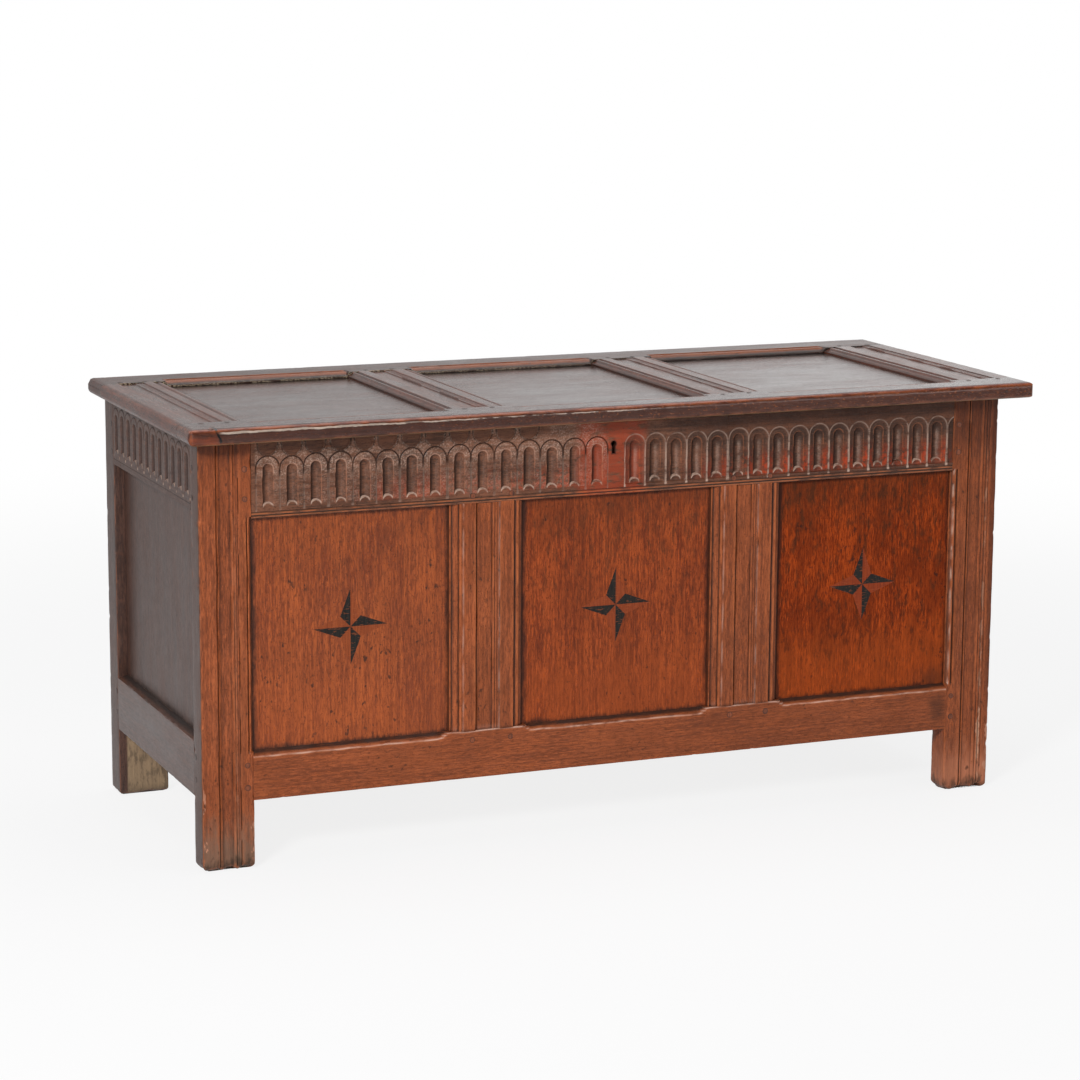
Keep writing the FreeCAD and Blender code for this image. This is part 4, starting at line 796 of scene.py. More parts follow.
def pierce(work, middle_x, middle_z, radius, slot, foot_z):
    """Opens the keyhole: a round over a slot. Points near its outline move on to it."""
    hole = []
    hollow = work.verts.layers.float["hollow"]
    for vertex in work.verts:
        x, z = vertex.co.x - middle_x, vertex.co.z - middle_z
        if abs(x) > 0.012 or abs(z) > 0.025:
            continue
        ring = math.hypot(x, z) - radius
        fall = max(abs(x) - slot / 2, foot_z - vertex.co.z, z)
        gap = min(ring, fall)
        if abs(gap) < 0.00055:
            if ring < fall:
                away = Vector((x, 0, z)).normalized()
            elif abs(x) - slot / 2 > foot_z - vertex.co.z:
                away = Vector((math.copysign(1, x), 0, 0))
            else:
                away = Vector((0, 0, -1))
            vertex.co -= away * gap
            gap = 0
        vertex[hollow] = max(vertex[hollow], 1 - gap / 0.0022)
        if gap <= 1e-6:
            hole.append(vertex)
    chosen = set(hole)
    gone = [face for face in work.faces if all(vertex in chosen for vertex in face.verts)]
    bmesh.ops.delete(work, geom=gone, context="FACES")


def peg_tree():
    """A worn peg head on each point, turned to face out of the wood."""
    sizes = {"Diameter": 0.008, "Stand": 0.0006, "Depth": 0.004, "Sides": 14, "Seed": 5}
    group, t, size, identifiers = shape_tree("peg_heads", {**sizes, "Material": None})
    head = t.node("GeometryNodeMeshCylinder", {"fill_type": "NGON"},
                  {0: size["Sides"], 1: 1, 2: 3, 3: size["Diameter"] * 0.5, 4: size["Depth"]})
    px, py, pz = t.parts(t.node("GeometryNodeInputPosition"))
    radius = (px * px + py * py).root() / (size["Diameter"] * 0.5)
    top = pz > 0
    dome = (1 - radius * radius) * size["Stand"] * top
    head = t.moved(t.stored(head, "hollow", radius.step(0.62, 1.0)), dome - size["Depth"] * 0.5)
    facing = t.node("GeometryNodeInputNamedAttribute", {"data_type": "FLOAT_VECTOR"}, {"Name": "facing"})
    turned = t.node("FunctionNodeAlignRotationToVector", {"axis": "Z"}, {"Vector": facing})
    spin = t.node("FunctionNodeRandomValue", {"data_type": "FLOAT"},
                  {2: 0.0, 3: 6.28, "Seed": size["Seed"]}, 1)
    spun = t.node("ShaderNodeCombineXYZ", {}, {2: spin})
    turned = t.node("FunctionNodeRotateRotation", {"rotation_space": "LOCAL"}, {0: turned, 1: spun})
    scale = t.node("FunctionNodeRandomValue", {"data_type": "FLOAT_VECTOR"},
                   {0: (0.88, 0.92, 0.9), 1: (1.08, 1.06, 1.3), "Seed": size["Seed"] + 1})
    spread = t.node("GeometryNodeInstanceOnPoints", {}, {"Points": size["Geometry"], "Instance": head,
                                                         "Rotation": turned, "Scale": scale})
    t.end(spread, size["Material"])
    return group, identifiers


# ---------------------------------------------------------------- the moulded profiles

PANEL_LOW = extent("front_bottom_rail")[1][2]
PANEL_HIGH = extent("front_frieze_rail")[0][2]
PANEL_BACK = extent("front_middle_panel")[1][1] - 1
LEFT, RIGHT = extent("front_left_post")[1][0], extent("front_right_post")[0][0]
NEAR, FAR = extent("front_left_post")[1][1], extent("back_left_post")[0][1]


def fall(u, start, toward_high, width=11.0):
    """The moulded edge beside a panel: a quirk, a bead and a slope down to the edge."""
    t = (u - start) if toward_high else (start - u)
    depth = bpy.context.scene.coffer_sizes.mould_depth * MM
    shape = np.interp(t, [-1, 0, 0.10 * width, 0.2 * width, 0.36 * width, 0.52 * width, 0.64 * width,
                          0.82 * width, width], [0, 0, 0.42, 0.42, 0.12, 0.16, 0.52, 0.72, 1.0])
    return depth * shape


def channelled(u, channel, band, band_depth, lines, reed_depth):
    """A sunk channel with a shallow band of three reeds at its side."""
    deep = bpy.context.scene.coffer_sizes.channel_depth * MM
    return np.maximum(sunk(u, *channel, deep), sunk(u, *band, band_depth) + reeds(u, *lines, 3, reed_depth))


def left_post_face(u, s):
    shape = quirk(u, 27.2, 2.2, 2.8) + quirk(u, 30.4, 1.8, 2.2)
    shape = np.maximum(shape, channelled(u, (30.6, 49.5), (49, 60.5), 1.0, (49.5, 60), 1.5))
    return np.maximum(shape, fall(u, 71.5, True, 8.5) * within(s, PANEL_LOW, PANEL_HIGH, 2))


def right_post_face(u, s):
    shape = quirk(u, 29.5, 3.0, 3.0) + quirk(u, 33, 2.0, 2.2)
    shape = np.maximum(shape, channelled(u, (33, 52.5), (52, 67), 0.9, (52, 67), 1.6))
    beside = within(s, PANEL_LOW, PANEL_HIGH, 2)
    # Painted highlight, partly chalk: a pale broken line along the inner edge of the mould beside the panels.
    bright = np.exp(-(((u - 4.4) / 0.9) ** 2)) * beside * smooth(ripple(73, s, 45), -0.5, 0.6)
    return np.maximum(shape, fall(u, 11.0, False, 11) * beside), np.zeros_like(u), bright


def muntin_face(u, s):
    wide = np.interp(u, [0, 0.5, 1.6, 3, 3.6, 6, 10, 13, 14, 15.2, 17.5, 19.6, 20.6],
                     [7, 5.4, 4.9, 5.6, 6.2, 4.9, 3.4, 2.9, 3.9, 1.1, 0.3, 0.9, 0])
    shape = np.maximum.reduce([wide, quirk(u, 42.8, 2.6, 4.0), quirk(u, 67.8, 1.8, 3.4),
                               channelled(u, (43.5, 67.5), (67.5, 80.5), 0.9, (68, 80), 1.6),
                               fall(u, 102.0, True, 16)])
    # Painted highlights: pale at the foot of the channel and of the edge mould, and pale broken lines along
    # two reeds.
    foot = np.exp(-(((s - 2.5) / 1.5) ** 2)) * (sunk(u, 43, 81, 1, 3) + sunk(u, 4, 14, 1, 3))
    lines = sum(np.exp(-(((u - at) / 1.1) ** 2)) * smooth(ripple(75 + at, s, 50), -1.4, 0.8)
                for at in (21, 79)) * 0.28
    return shape, np.exp(-((s / 1.6) ** 2)) * 0.8, np.maximum(foot, lines)


def lid_bar_face(marks):
    """The section of a lid stile or muntin, from where its moulds, channel and reeds begin."""
    low_mould, channel, reed, reed_end, high_mould, width = marks

    def relief(u, s):
        shape = np.maximum(quirk(u, channel, 2.4, 3.2), quirk(u, reed_end, 2.0, 2.8))
        band = (reed, reed_end)
        shape = np.maximum(shape, channelled(u, (channel, reed), band, 1.0, band, 1.6))
        if low_mould:
            shape = np.maximum(shape, fall(u, low_mould, False, low_mould))
        if high_mould:
            shape = np.maximum(shape, fall(u, high_mould, True, width - high_mould))
        return shape
    return relief


# ---------------------------------------------------------------- the pieces

class PieceOperator:
    """What the operators share."""

    bl_options = {"REGISTER", "UNDO"}

    def execute(self, context):
        self.make(context.scene.coffer_sizes, context.scene.coffer_colours)
        return {"FINISHED"}


class COFFER_OT_posts(PieceOperator, bpy.types.Operator):
    """Shape the four corner posts, with worn feet and channelled front faces"""

    bl_idname = "coffer.posts"
    bl_label = "Corner posts"

    def make(self, sizes, colours):
        worn = sizes.arris * MM
        bare_wood = paint(140, 106, 74)

        def indoors(x, z, at_left):
            """What lies within the side panels and above the foot of the chest."""
            wall = extent("left_panel")[1][0] if at_left else extent("right_panel")[0][0]
            return ((x - wall) if at_left else (wall - x)).step(-3, 0) * z.step(96, 104)

        faces = {"front_left_post": left_post_face, "front_right_post": right_post_face}
        for seed, (node, relief) in enumerate(faces.items(), start=1):
            low, high = extent(node)
            at_left = node == "front_left_post"

            def worn_foot(x, y, z, rub):
                return (z + (rub - 0.5) * 90).step(105, 20) * (0.8 if at_left else 0.9)

            def end_grain(x, y, z, rub):
                """The side and back faces, grey as the sides are."""
                beside = (x + 667.5).step(0.6, -1.2) if at_left else (x - 649.5).step(-0.6, 1.2)
                return beside.most((y - high[1]).step(-2.7, 0.3))

            def chips(x, y, z, rub):
                """Where the arrises of the foot are knocked back to the wood."""
                reach = (high[0] - x).least((x - low[0]) if at_left else 99) + (rub - 0.5) * 34
                return reach.step(3, 1) * z.step(150, 90) * (y - low[1]).step(14, 8) * 0.95

            def soiled(x, y, z, rub):
                return (z + (rub - 0.5) * 50).step(22, 5) * 0.75

            def lid_shadow(x, y, z, rub):
                """Painted shadow of the lid, darker toward the top of the post where the lid hangs over."""
                height = z + (rub - 0.5) * 70
                return height.step(585, 645) * 0.6 if at_left else height.step(500, 610) * 0.68

            def outer(x, y, z, rub):
                """The strip beyond the right post's reeds, left dark."""
                return x.step(640.5, 643) * x.step(651, 649) * z.step(60, 200) * 0.5

            def crest(x, y, z, rub):
                """Pale chips along a reed, with a painted highlight along its crest."""
                middle = -614.5 if at_left else 634.5
                share = (rub.step(0.48, 0.56) * 0.7 + 0.1) * (z.step(180, 120) * 0.5 + 0.5)
                away = (x - middle + (rub - 0.5) * 12).size()
                return away.step(3.4, 1.4) * z.step(570, 500) * share * (0.2 if at_left else 1)

            def inside(x, y, z, rub):
                """The back of the post, which only the inside of the chest shows."""
                return indoors(x, z, at_left) * (y - PANEL_BACK).step(-1.5, 1.5)

            foot = paint(142, 112, 92) if at_left else paint(212, 134, 98)
            patches = ((lid_shadow, paint(58, 32, 24)), (worn_foot, foot), (outer, paint(72, 38, 25)),
                       (crest, paint(222, 172, 140)), (chips, paint(222, 156, 124)),
                       (soiled, paint(70, 58, 46)), (end_grain, tones("side")[0]), (inside, bare_wood))
            material = oak(node + "_oak", *tones("frame"), "Z", seed, 0.34, patches=patches, shine=0.2,
                           wear=0.9 if at_left else 0.6, cloud=0.4, chalk=0.75, dust_and_highlight=paint(214, 180, 160))
            piece = bar(node + "_piece", low, high, "Z", "-Y", relief, (worn * 1.3, worn * 1.3, worn, worn),
                        (11, 0), stride=4.0, seed=seed, damage=1.8)
            settle(piece, material, "carcass", "oak_frame", node)
        for seed, node in enumerate(("back_left_post", "back_right_post"), start=3):
            low, high = extent(node)

            def bare_foot(x, y, z, rub):
                """The front of a back foot, which was never polished."""
                bare = (y - low[1]).step(3, 1) * (z + (rub - 0.5) * 16).step(110, 100)
                outside = (x - low[0]) if node == "back_left_post" else (high[0] - x)
                return bare * outside.step(11, 15) * (high[0] - x + (rub - 0.5) * 6).step(0.5, 3)

            def foot_dirt(x, y, z, rub):
                share = rub.step(0.46, 0.66) * 0.55 + (z + rub * 20).step(26, 10) * 0.45
                return bare_foot(x, y, z, rub) * share.least(1)

            def inside(x, y, z, rub):
                """What only the inside of the chest shows."""
                return indoors(x, z, node == "back_left_post") * (y - high[1]).step(-1.5, -4)

            material = oak(node + "_oak", *tones("side"), "Z", seed, 0.42, grime_and_shade=0.7, wear=0.5,
                           patches=((inside, bare_wood), (bare_foot, paint(178, 150, 118)),
                                    (foot_dirt, paint(66, 52, 42))))
            piece = bar(node + "_piece", low, high, "Z", "+Y", None, (worn, worn, worn, worn), (7, 0),
                        step=4.0, stride=5.0, seed=seed, damage=1.5)
            settle(piece, material, "carcass", "oak_side", node)


class COFFER_OT_front_frame(PieceOperator, bpy.types.Operator):
    """Shape the front bottom rail and the two muntins"""

    bl_idname = "coffer.front_frame"
    bl_label = "Front frame"

    def make(self, sizes, colours):
        muntins = [extent("front_left_muntin"), extent("front_right_muntin")]

        def rail_face(u, s):
            x = s + LEFT - 1
            rise = np.full_like(x, 8.0)
            for low, high in muntins:
                half = (high[0] - low[0]) / 2
                rise *= smooth(np.abs(x - (low[0] + high[0]) / 2), half + 1, half + 16) * 0.94 + 0.06
            z = u + 104.0
            arris = PANEL_LOW - rise - 0.4 + 0.5 * ripple(71, x, 70)
            slope = np.clip((z - arris) / np.maximum(PANEL_LOW - arris, 0.8), 0, 1)
            splay = slope * 10 * np.clip(rise / 5, 0, 1)
            # Painted highlight, partly wear: a pale broken line along the arris of the splay.
            shine = np.exp(-(((z - arris + 0.2) / 0.9) ** 2))
            return splay, splay / 10 * 0.85, shine * (0.45 + 0.55 * smooth(ripple(72, x, 60), -0.6, 0.5))

        def smear(x, y, z, rub):
            """Old wax caught by the right foot."""
            return (x - 556).size().step(22, 4) * (z - 138 + (rub - 0.5) * 30).size().step(34, 8) * 0.5

        material = oak("front_bottom_rail_oak", *tones("frame"), "X", 6, inner=(1, PANEL_BACK, 1), chalk=0.85,
                       dust_and_highlight=paint(226, 190, 172), shine=0.2, cloud=0.35,
                       patches=((smear, paint(58, 40, 31)),))
        low, high = span("front_bottom_rail", x0=LEFT - 1, x1=RIGHT + 1)
        piece = bar("front_bottom_rail_piece", low, high, "X", "-Y", rail_face, (1.2, 0, 0.6, 1.0),
                    stride=5.0, seed=9)
        settle(piece, material, "carcass", "oak_frame", "front_bottom_rail")
        for seed, side in enumerate(("left", "right"), start=11):
            node = f"front_{side}_muntin"
            low, high = span(node, z0=PANEL_LOW - 1.2, z1=PANEL_HIGH + 1)
            material = oak(node + "_oak", *tones("frame"), "Z", seed, 0.34, inner=(1, PANEL_BACK, 1),
                           chalk=1.0, dust_and_highlight=paint(232, 200, 184), shine=0.2, vivid=0.9, cloud=0.35)
            piece = bar(node + "_piece", low, high, "Z", "-Y", muntin_face, (0, 0, 0.6, 0.6), step=0.9,
                        stride=5.0, seed=seed)
            settle(piece, material, "carcass", "oak_frame", node)


class COFFER_OT_friezes(PieceOperator, bpy.types.Operator):
    """Carve the fluted friezes of the front and the sides"""

    bl_idname = "coffer.friezes"
    bl_label = "Carved friezes"

    def make(self, sizes, colours):
        group, identifiers = carving_tree()

        def cleaned(x, y, z, rub):
            """Where the polish was cleaned off round the keyhole."""
            return (x + 20.0).size().step(66.0, 44.0) * rub.step(0.30, 0.52) * z.step(641, 638) * 0.85

        def darker_run_and_lid_shade(x, y, z, rub):
            """The right run darker all over, and darker still toward the top as painted shadow of the lid."""
            return x.step(20, 180) * ((z + (rub - 0.5) * 20).step(598, 630) * 0.42 + 0.28)

        def ruddy(x, y, z, rub):
            """Where the old polish is thin between the flutes."""
            return rub.tree.attribute("ruddy") * (x.step(-300, 60) * 0.45 + 0.4)

        material = oak("front_frieze_oak", *tones("frieze"), "X", 21, 0.30, chalk=0.85,
                       inner=(1, PANEL_BACK, 1), coat=0.08, shine=0.2, vivid=0.7, figure=0.6,
                       patches=((darker_run_and_lid_shade, paint(62, 32, 20)), (ruddy, paint(200, 70, 26)),
                                (cleaned, paint(172, 72, 42))))
        low, high = extent("front_frieze_rail")
        shared = {"Width": sizes.flute_width, "Depth": sizes.flute_depth, "Outline": sizes.outline_depth,
                  "Height": (high[2] - low[2]) / MM, "Crown": CARVING["Foot"] + sizes.crown}
        runs = {
            "front_frieze_left": (LEFT, FRIEZE_SPLIT / MM,
                                  {"Pitch": 0.5575 / 15, "Chalk": 0.72, "Dot": 0.25}),
            "front_frieze_right": (LEFT + FRIEZE_SPLIT, (RIGHT - LEFT) / MM - FRIEZE_SPLIT / MM,
                                   {"First": 0.0065, "Pitch": 0.559 / 16, "Flutes": 16, "Outlines": 17,
                                    "Scoops": 0, "Bank": 0.0022, "Chalk": 0.06, "Line": 0.5, "Dot": 1.0,
                                    "Streak": 0.55, "Seed": 8}),
        }
        for name, (start, length, own) in runs.items():
            at_left = name == "front_frieze_left"
            piece = carved_face(name, group, identifiers, {**shared, **own, "Length": length}, material,
                                (start / MM, low[1] / MM, low[2] / MM), (1, 0, 0), (0, -1, 0),
                                KEYHOLE if at_left else None)
            if at_left:
                rest = backing("frieze_backing", "front_frieze_rail", 1, -1, low[1] + BACKING_FROM)
                piece = joined(piece, rest)
            shade(piece, 50)
            settle(piece, material, "carcass", "oak_frieze", "front_frieze_rail")
        for side, seed in (("left", 31), ("right", 32)):
            node = f"{side}_frieze_rail"
            low, high = extent(node)
            inward = 1 if side == "left" else -1
            face, start = (low[0], FAR) if side == "left" else (high[0], NEAR)
            own = {"Length": (FAR - NEAR) / MM, "Height": (high[2] - low[2]) / MM, "First": 0.0,
                   "Pitch": (FAR - NEAR) / (12 * MM), "Flutes": 12, "Outlines": 12, "Foot": 0.018,
                   "Crown": 0.018 + sizes.crown, "Scoops": 0, "Chalk": 0.1, "Line": 0.1, "Dot": 0.9,
                   "Roll": 0.0, "Seed": seed}
            material = oak(node + "_oak", *tones("side"), "Y", seed, 0.46, chalk=0.8, wear=0.2, vivid=0.6,
                           inner=(0, face + RAW_FROM * inward, inward))
            piece = carved_face(node + "_face", group, identifiers, {**shared, **own}, material,
                                (face / MM, start / MM, low[2] / MM), (0, -inward, 0), (-inward, 0, 0))
            rest = backing(node + "_backing", node, 0, -inward, face + BACKING_FROM * inward)
            piece = joined(piece, rest)
            shade(piece, 50)
            settle(piece, material, "carcass", "oak_side", node)


class COFFER_OT_side_frames(PieceOperator, bpy.types.Operator):
    """Shape the splayed bottom rails and finish the panels of both sides"""

    bl_idname = "coffer.side_frames"
    bl_label = "Side frames"

    def make(self, sizes, colours):
        for side, seed in (("left", 41), ("right", 43)):
            inward = 1 if side == "left" else -1
            node = f"{side}_bottom_rail"
            low, high = span(node, y0=NEAR - 1, y1=FAR + 1)
            face = low[0] if side == "left" else high[0]
            material = oak(node + "_oak", *tones("side", 1.2), "Y", seed, 0.37, wear=0.12, relief=0.6,
                           vivid=0.6, inner=(0, face + RAW_FROM * inward, inward))

            def splayed(u, s):
                arris = 84.0 + 0.5 * ripple(seed, s, 80)
                return np.clip((u - arris) / 4, 0, 1) * 16 + quirk(u, arris - 1.5, 1.5, 0.3)

            piece = bar(node + "_piece", low, high, "Y", "-X" if side == "left" else "+X", splayed,
                        (1.4, 0, 0.6, 0.8), seed=seed)
            settle(piece, material, "carcass", "oak_side", node)
            panel = f"{side}_panel"
            low, high = extent(panel)
            material = oak(panel + "_oak", *tones("side"), "Z", seed + 1, 0.42, vivid=0.6,
                           window=((1, NEAR, FAR), (2, 197.0, 537.5)),
                           inner=(0, (low[0] + high[0]) / 2, inward))
            finish_nodes(material, panel)


class COFFER_OT_back_frame(PieceOperator, bpy.types.Operator):
    """Finish the plain, unpolished framing and panels of the back, and the bottom boards"""

    bl_idname = "coffer.back_frame"
    bl_label = "Back and bottom"

    def make(self, sizes, colours):
        raw = tones("raw")
        dull = {"polish": 0.62, "coat": 0.0, "wear": 0.4, "grime_and_shade": 0.8}
        across = oak("back_rail_oak", *raw, "X", 51, **dull)
        upright = oak("back_muntin_oak", *raw, "Z", 52, **dull)
        finish_nodes(across, "back_top_rail", "back_bottom_rail")
        worn = sizes.arris * (MM / 2)
        low_z = extent("back_bottom_rail")[1][2] - 1
        high_z = extent("back_top_rail")[0][2] + 1
        for seed, side in enumerate(("left", "right"), start=53):
            node = f"back_{side}_muntin"
            low, high = span(node, z0=low_z, z1=high_z)
            piece = bar(node + "_piece", low, high, "Z", "+Y", None, (worn,) * 4, step=9.0, stride=8.0,
                        seed=seed)
            settle(piece, upright, "carcass", "oak_raw", node)
        for seed, where in enumerate(("left", "middle", "right"), start=55):
            finish_nodes(oak(f"back_{where}_panel_oak", *raw, "Z", seed, stain=0.9, **dull),
                         f"back_{where}_panel")
        for number in range(1, 6):
            finish_nodes(oak(f"bottom_board_{number}_oak", *raw, "Y", 60 + number, stain=0.9, **dull),
                         f"bottom_board_{number}")


class COFFER_OT_panels(PieceOperator, bpy.types.Operator):
    """Finish the three front panels and their inlaid stars"""

    bl_idname = "coffer.panels"
    bl_label = "Front panels"

    def make(self, sizes, colours):
        ends = [LEFT]
        for side in ("left", "right"):
            low, high = extent(f"front_{side}_muntin")
            ends += [low[0], high[0]]
        ends.append(RIGHT)
        for seed, where in enumerate(("left", "middle", "right")):
            low, high = extent(f"front_{where}_panel")
            tint = ((1.02, 1.02, 0.95), (0.98, 0.83, 0.68), (0.97, 0.64, 0.32))[seed]

            def tinted(colour):
                return [part * share for part, share in zip(colour, tint)]

            def top_shade(x, y, z, rub):
                """Painted shade, darker toward the top of the panel."""
                return (z + (rub - 0.5) * 220).step(400, 540) * (0.16 + 0.22 * seed)

            def blotches(x, y, z, rub):
                """Dark clouds in the wax, more of them to the right."""
                return rub.step(0.53, 0.66) * (z + x * 0.2).step(150, 420) * (0.12 + 0.2 * seed)

            def smudge(x, y, z, rub):
                """Soot in the low corner of the right panel."""
                away = ((x - 552) * (x - 552) / 4 + (z - 186) * (z - 186)).root() + (rub - 0.5) * 60
                return away.step(34, 0) * 0.5

            def worn(x, y, z, rub):
                """A painted pool of light: the panel lighter and warmer below its star."""
                return (z + (rub - 0.5) * 160).step(320, 230) * (rub * 0.25 + 0.08 * seed)

            material = oak(f"front_{where}_panel_oak", *map(tinted, tones("panel")), "Z", 71 + seed, 0.33,
                           window=((0, *ends[2 * seed:2 * seed + 2]), (2, PANEL_LOW, PANEL_HIGH)),
                           inner=(1, (low[1] + high[1]) / 2, 1), stain=0.75, shine=0.3 - 0.1 * seed,
                           coat=0.06 - 0.03 * seed, cloud=0.25 + 0.18 * seed, vivid=1 + 0.3 * seed,
                           patches=((top_shade, paint(92, 50, 28)), (worn, paint(212, 102, 42)),
                                    (blotches, paint(64, 42, 26)), (smudge, paint(54, 42, 34))))
            finish_nodes(inlay(f"{where}_bog_oak_inlay", colours.bog_oak[:], paint(22, 19, 17)),
                         f"{where}_star_dark")
            finish_nodes(inlay(f"{where}_pale_inlay", tinted(scaled(colours.inlay, 0.9)),
                               tinted(paint(128, 58, 27))), f"{where}_star_light")
            finish_nodes(material, f"front_{where}_panel")


class COFFER_OT_lid(PieceOperator, bpy.types.Operator):
    """Shape the lid's nosed frame, moulded bars and worn corner, and finish its panels"""

    bl_idname = "coffer.lid"
    bl_label = "Lid"

    def make(self, sizes, colours):
        nose = sizes.nosing * MM
        lid_oak = tones("lid")
        front_low, front_high = extent("lid_front_rail")
        back_low, back_high = extent("lid_back_rail")
        near, far = front_high[1], back_low[1]
        names = ("left_stile", "left_muntin", "right_muntin", "right_stile")
        bars = [extent("lid_" + name) for name in names]
        bays = [(first[1][0], second[0][0]) for first, second in zip(bars, bars[1:])]

        def beside_panels(u, s, start, at_high):
            x = s + front_low[0]
            return fall(u, start, at_high, 20) * np.maximum.reduce([within(x, *bay, 1) for bay in bays])

        def front_face(u, s):
            x = s + front_low[0]
            shake = quirk(x, -662 + u * 0.5 + 0.8 * ripple(5, u, 9), 1.8, 4.5) * (1 - smooth(u, 12, 26))
            return beside_panels(u, s, front_high[1] - front_low[1] - 20, True) + shake

        def corner(x, y, z, rub):
            """The corner beyond the shake, bare along its arris."""
            bare = rub.tree.attribute("edge").most(z.step(657, 652)) * 0.7 + rub.step(0.4, 0.6) * 0.2
            return x.step(-646, -652) * (y + 264).step(5, -5) * bare * (rub.step(0.36, 0.60) * 0.45 + 0.55)

        def strip(x, y, z, rub):
            """The rubbed line along the top of the nosing."""
            return (y + 275.0).size().step(3.0, 1.4) * (z - 662).step(-1, 1) * (rub * 0.9 + 0.15)

        def glint(x, y, z, rub):
            """A painted highlight along the top of the nosing, broad at the left and thin to the right."""
            wide = x.step(-120, -600) * 0.9 + 0.5
            near_top = ((z - 659.9 + (rub - 0.5) * 5).size() - wide).step(0.6, -0.4) * (y + 275).step(1, -1)
            whole = rub.step(0.40, 0.54).most(x.step(-280, -420) * 0.75) * x.step(120, -60)
            return near_top * whole * x.step(-650, -640) * 0.75

        def on_nose(y):
            """The front of the nosing, from where it turns down."""
            return (y + 275.4).step(0.6, -0.8)

        def nose_warm(x, y, z, rub):
            """The nosing toward its right end, where the old polish is thin."""
            share = x.step(-250, 600) * (rub.step(0.40, 0.60) * 0.6 + 0.25)
            return on_nose(y).most(x.step(684, 689)) * share

        def nose_chips(x, y, z, rub):
            """Small knocks in the nosing."""
            knock = crumbs(x * 0.22, y * 0.3, z * 0.45, 0.5).step(0.65, 0.70)
            end = x.step(684, 690) * rub.tree.attribute("edge") * 0.7
            return (knock * on_nose(y) * (x.step(-500, 300) * 0.3 + 0.12)).most(end)

        def nose_face(x, y, z, rub):
            return on_nose(y) * x.step(-652, -646) * 0.75

        def crack(x, y, z, rub):
            """The old shake across the worn corner."""
            along = x + 648 + (z - 654) * 0.4 + (rub - 0.5) * 6
            return along.size().step(2.2, 1.2) * (y + 262).step(4, -4)

        material = oak("lid_front_rail_oak", *lid_oak, "X", 81, 0.25, inner=(2, front_low[2] + 1.5, -1),
                       wear=0.5, relief=1.3, coat=0.25, shine=0.4, vivid=1.4,
                       patches=((nose_face, paint(74, 38, 26)), (nose_warm, paint(100, 48, 24)),
                                (nose_chips, paint(196, 112, 60)), (strip, paint(134, 50, 15)),
                                (glint, paint(232, 214, 196)), (corner, paint(132, 55, 20)),
                                (crack, paint(12, 9, 8))))
        piece = bar("lid_front_rail_piece", front_low, front_high, "X", "+Z", front_face,
                    (nose, 0.8, 0.6, nose * 0.8), (nose, nose), "high", stride=4.0, seed=81)
        settle(piece, material, "lid", "oak_lid", "lid_front_rail")

        def back_face(u, s):
            return beside_panels(u, s, 20.0, False)

        def mould_wood(x, y, z, rub):
            """The face of the mould, where the wood shows warm."""
            beside = 0
            for begin, finish in bays:
                beside = x.step(begin - 1, begin + 1) * x.step(finish + 1, finish - 1) + beside
            return (y - far).step(20.6, 19.6) * beside * (rub * 0.4 + 0.62)

        def mould_dirt(x, y, z, rub):
            return (y - far + (rub - 0.5) * 6).step(7, 2.5) * 0.9

        def mould_light(x, y, z, rub):
            """The broken bright line where wax has chipped from the foot of the mould."""
            line = (y - far - 1.2).size().step(2.2, 0.8)
            line = line * crumbs(x * 0.28, y * 0.6, z * 0.6, 0.6).step(0.44, 0.56)
            return line * rub.step(0.38, 0.50) * x.step(420, -300) * 0.8

        material = oak("lid_back_rail_oak", *lid_oak, "X", 82, 0.34, inner=(2, back_low[2] + 1.5, -1),
                       wear=0.3, relief=0.7,
                       patches=((mould_wood, paint(150, 78, 36)), (mould_dirt, paint(30, 20, 16)),
                                (mould_light, paint(196, 178, 150))))
        low = back_low.copy()
        low[2] = back_high[2] - 10
        piece = bar("lid_back_rail_top", low, back_high, "X", "+Z", back_face, (0.8, 1.5, 0, 0), (0, 0),
                    stride=4.0, seed=82)
        clip_ends(piece, back_low, back_high, nose)
        piece = joined(piece, backing("lid_back_rail_rest", "lid_back_rail", 2, 1, back_high[2] - 9.5))
        shade(piece)
        settle(piece, material, "lid", "oak_lid", "lid_back_rail")

        marks = {"lid_left_stile": (0, 30, 56, 68, 84, 107), "lid_left_muntin": (18, 36, 62, 74, 94, 112),
                 "lid_right_muntin": (18, 36, 62, 74, 94, 112), "lid_right_stile": (22, 50, 73, 85, 0, 121)}
        for seed, (node, lines) in enumerate(marks.items(), start=83):
            low, high = span(node, y0=near - 0.5, y1=far + 0.5)
            left_nose, right_nose = (nose if node == f"lid_{side}_stile" else 0 for side in ("left", "right"))
            radii = (left_nose, right_nose, right_nose or 0.6, left_nose or 0.6)
            material = oak(node + "_oak", *tones("lid", 1.5), "Y", seed, 0.3, inner=(2, low[2] + 1.5, -1),
                           wear=0.12, relief=0.7, grime_and_shade=0.55)
            piece = bar(node + "_piece", low, high, "Y", "+Z", lid_bar_face(lines), radii, stride=5.0,
                        seed=seed)
            settle(piece, material, "lid", "oak_lid", node)
        for seed, (where, bay) in enumerate(zip(("left", "middle", "right"), bays), start=91):
            low, high = extent(f"lid_{where}_panel")

            def dark_edge(x, y, z, rub):
                return (far - y + (rub - 0.5) * 70).step(34, 4) * 0.85

            def scar(x, y, z, rub):
                """An old burn by the front of the middle panel."""
                away = ((x + 22) * (x + 22) / 4 + (y + 166) * (y + 166)).root()
                return (away + (rub - 0.5) * 14).step(7, 4)

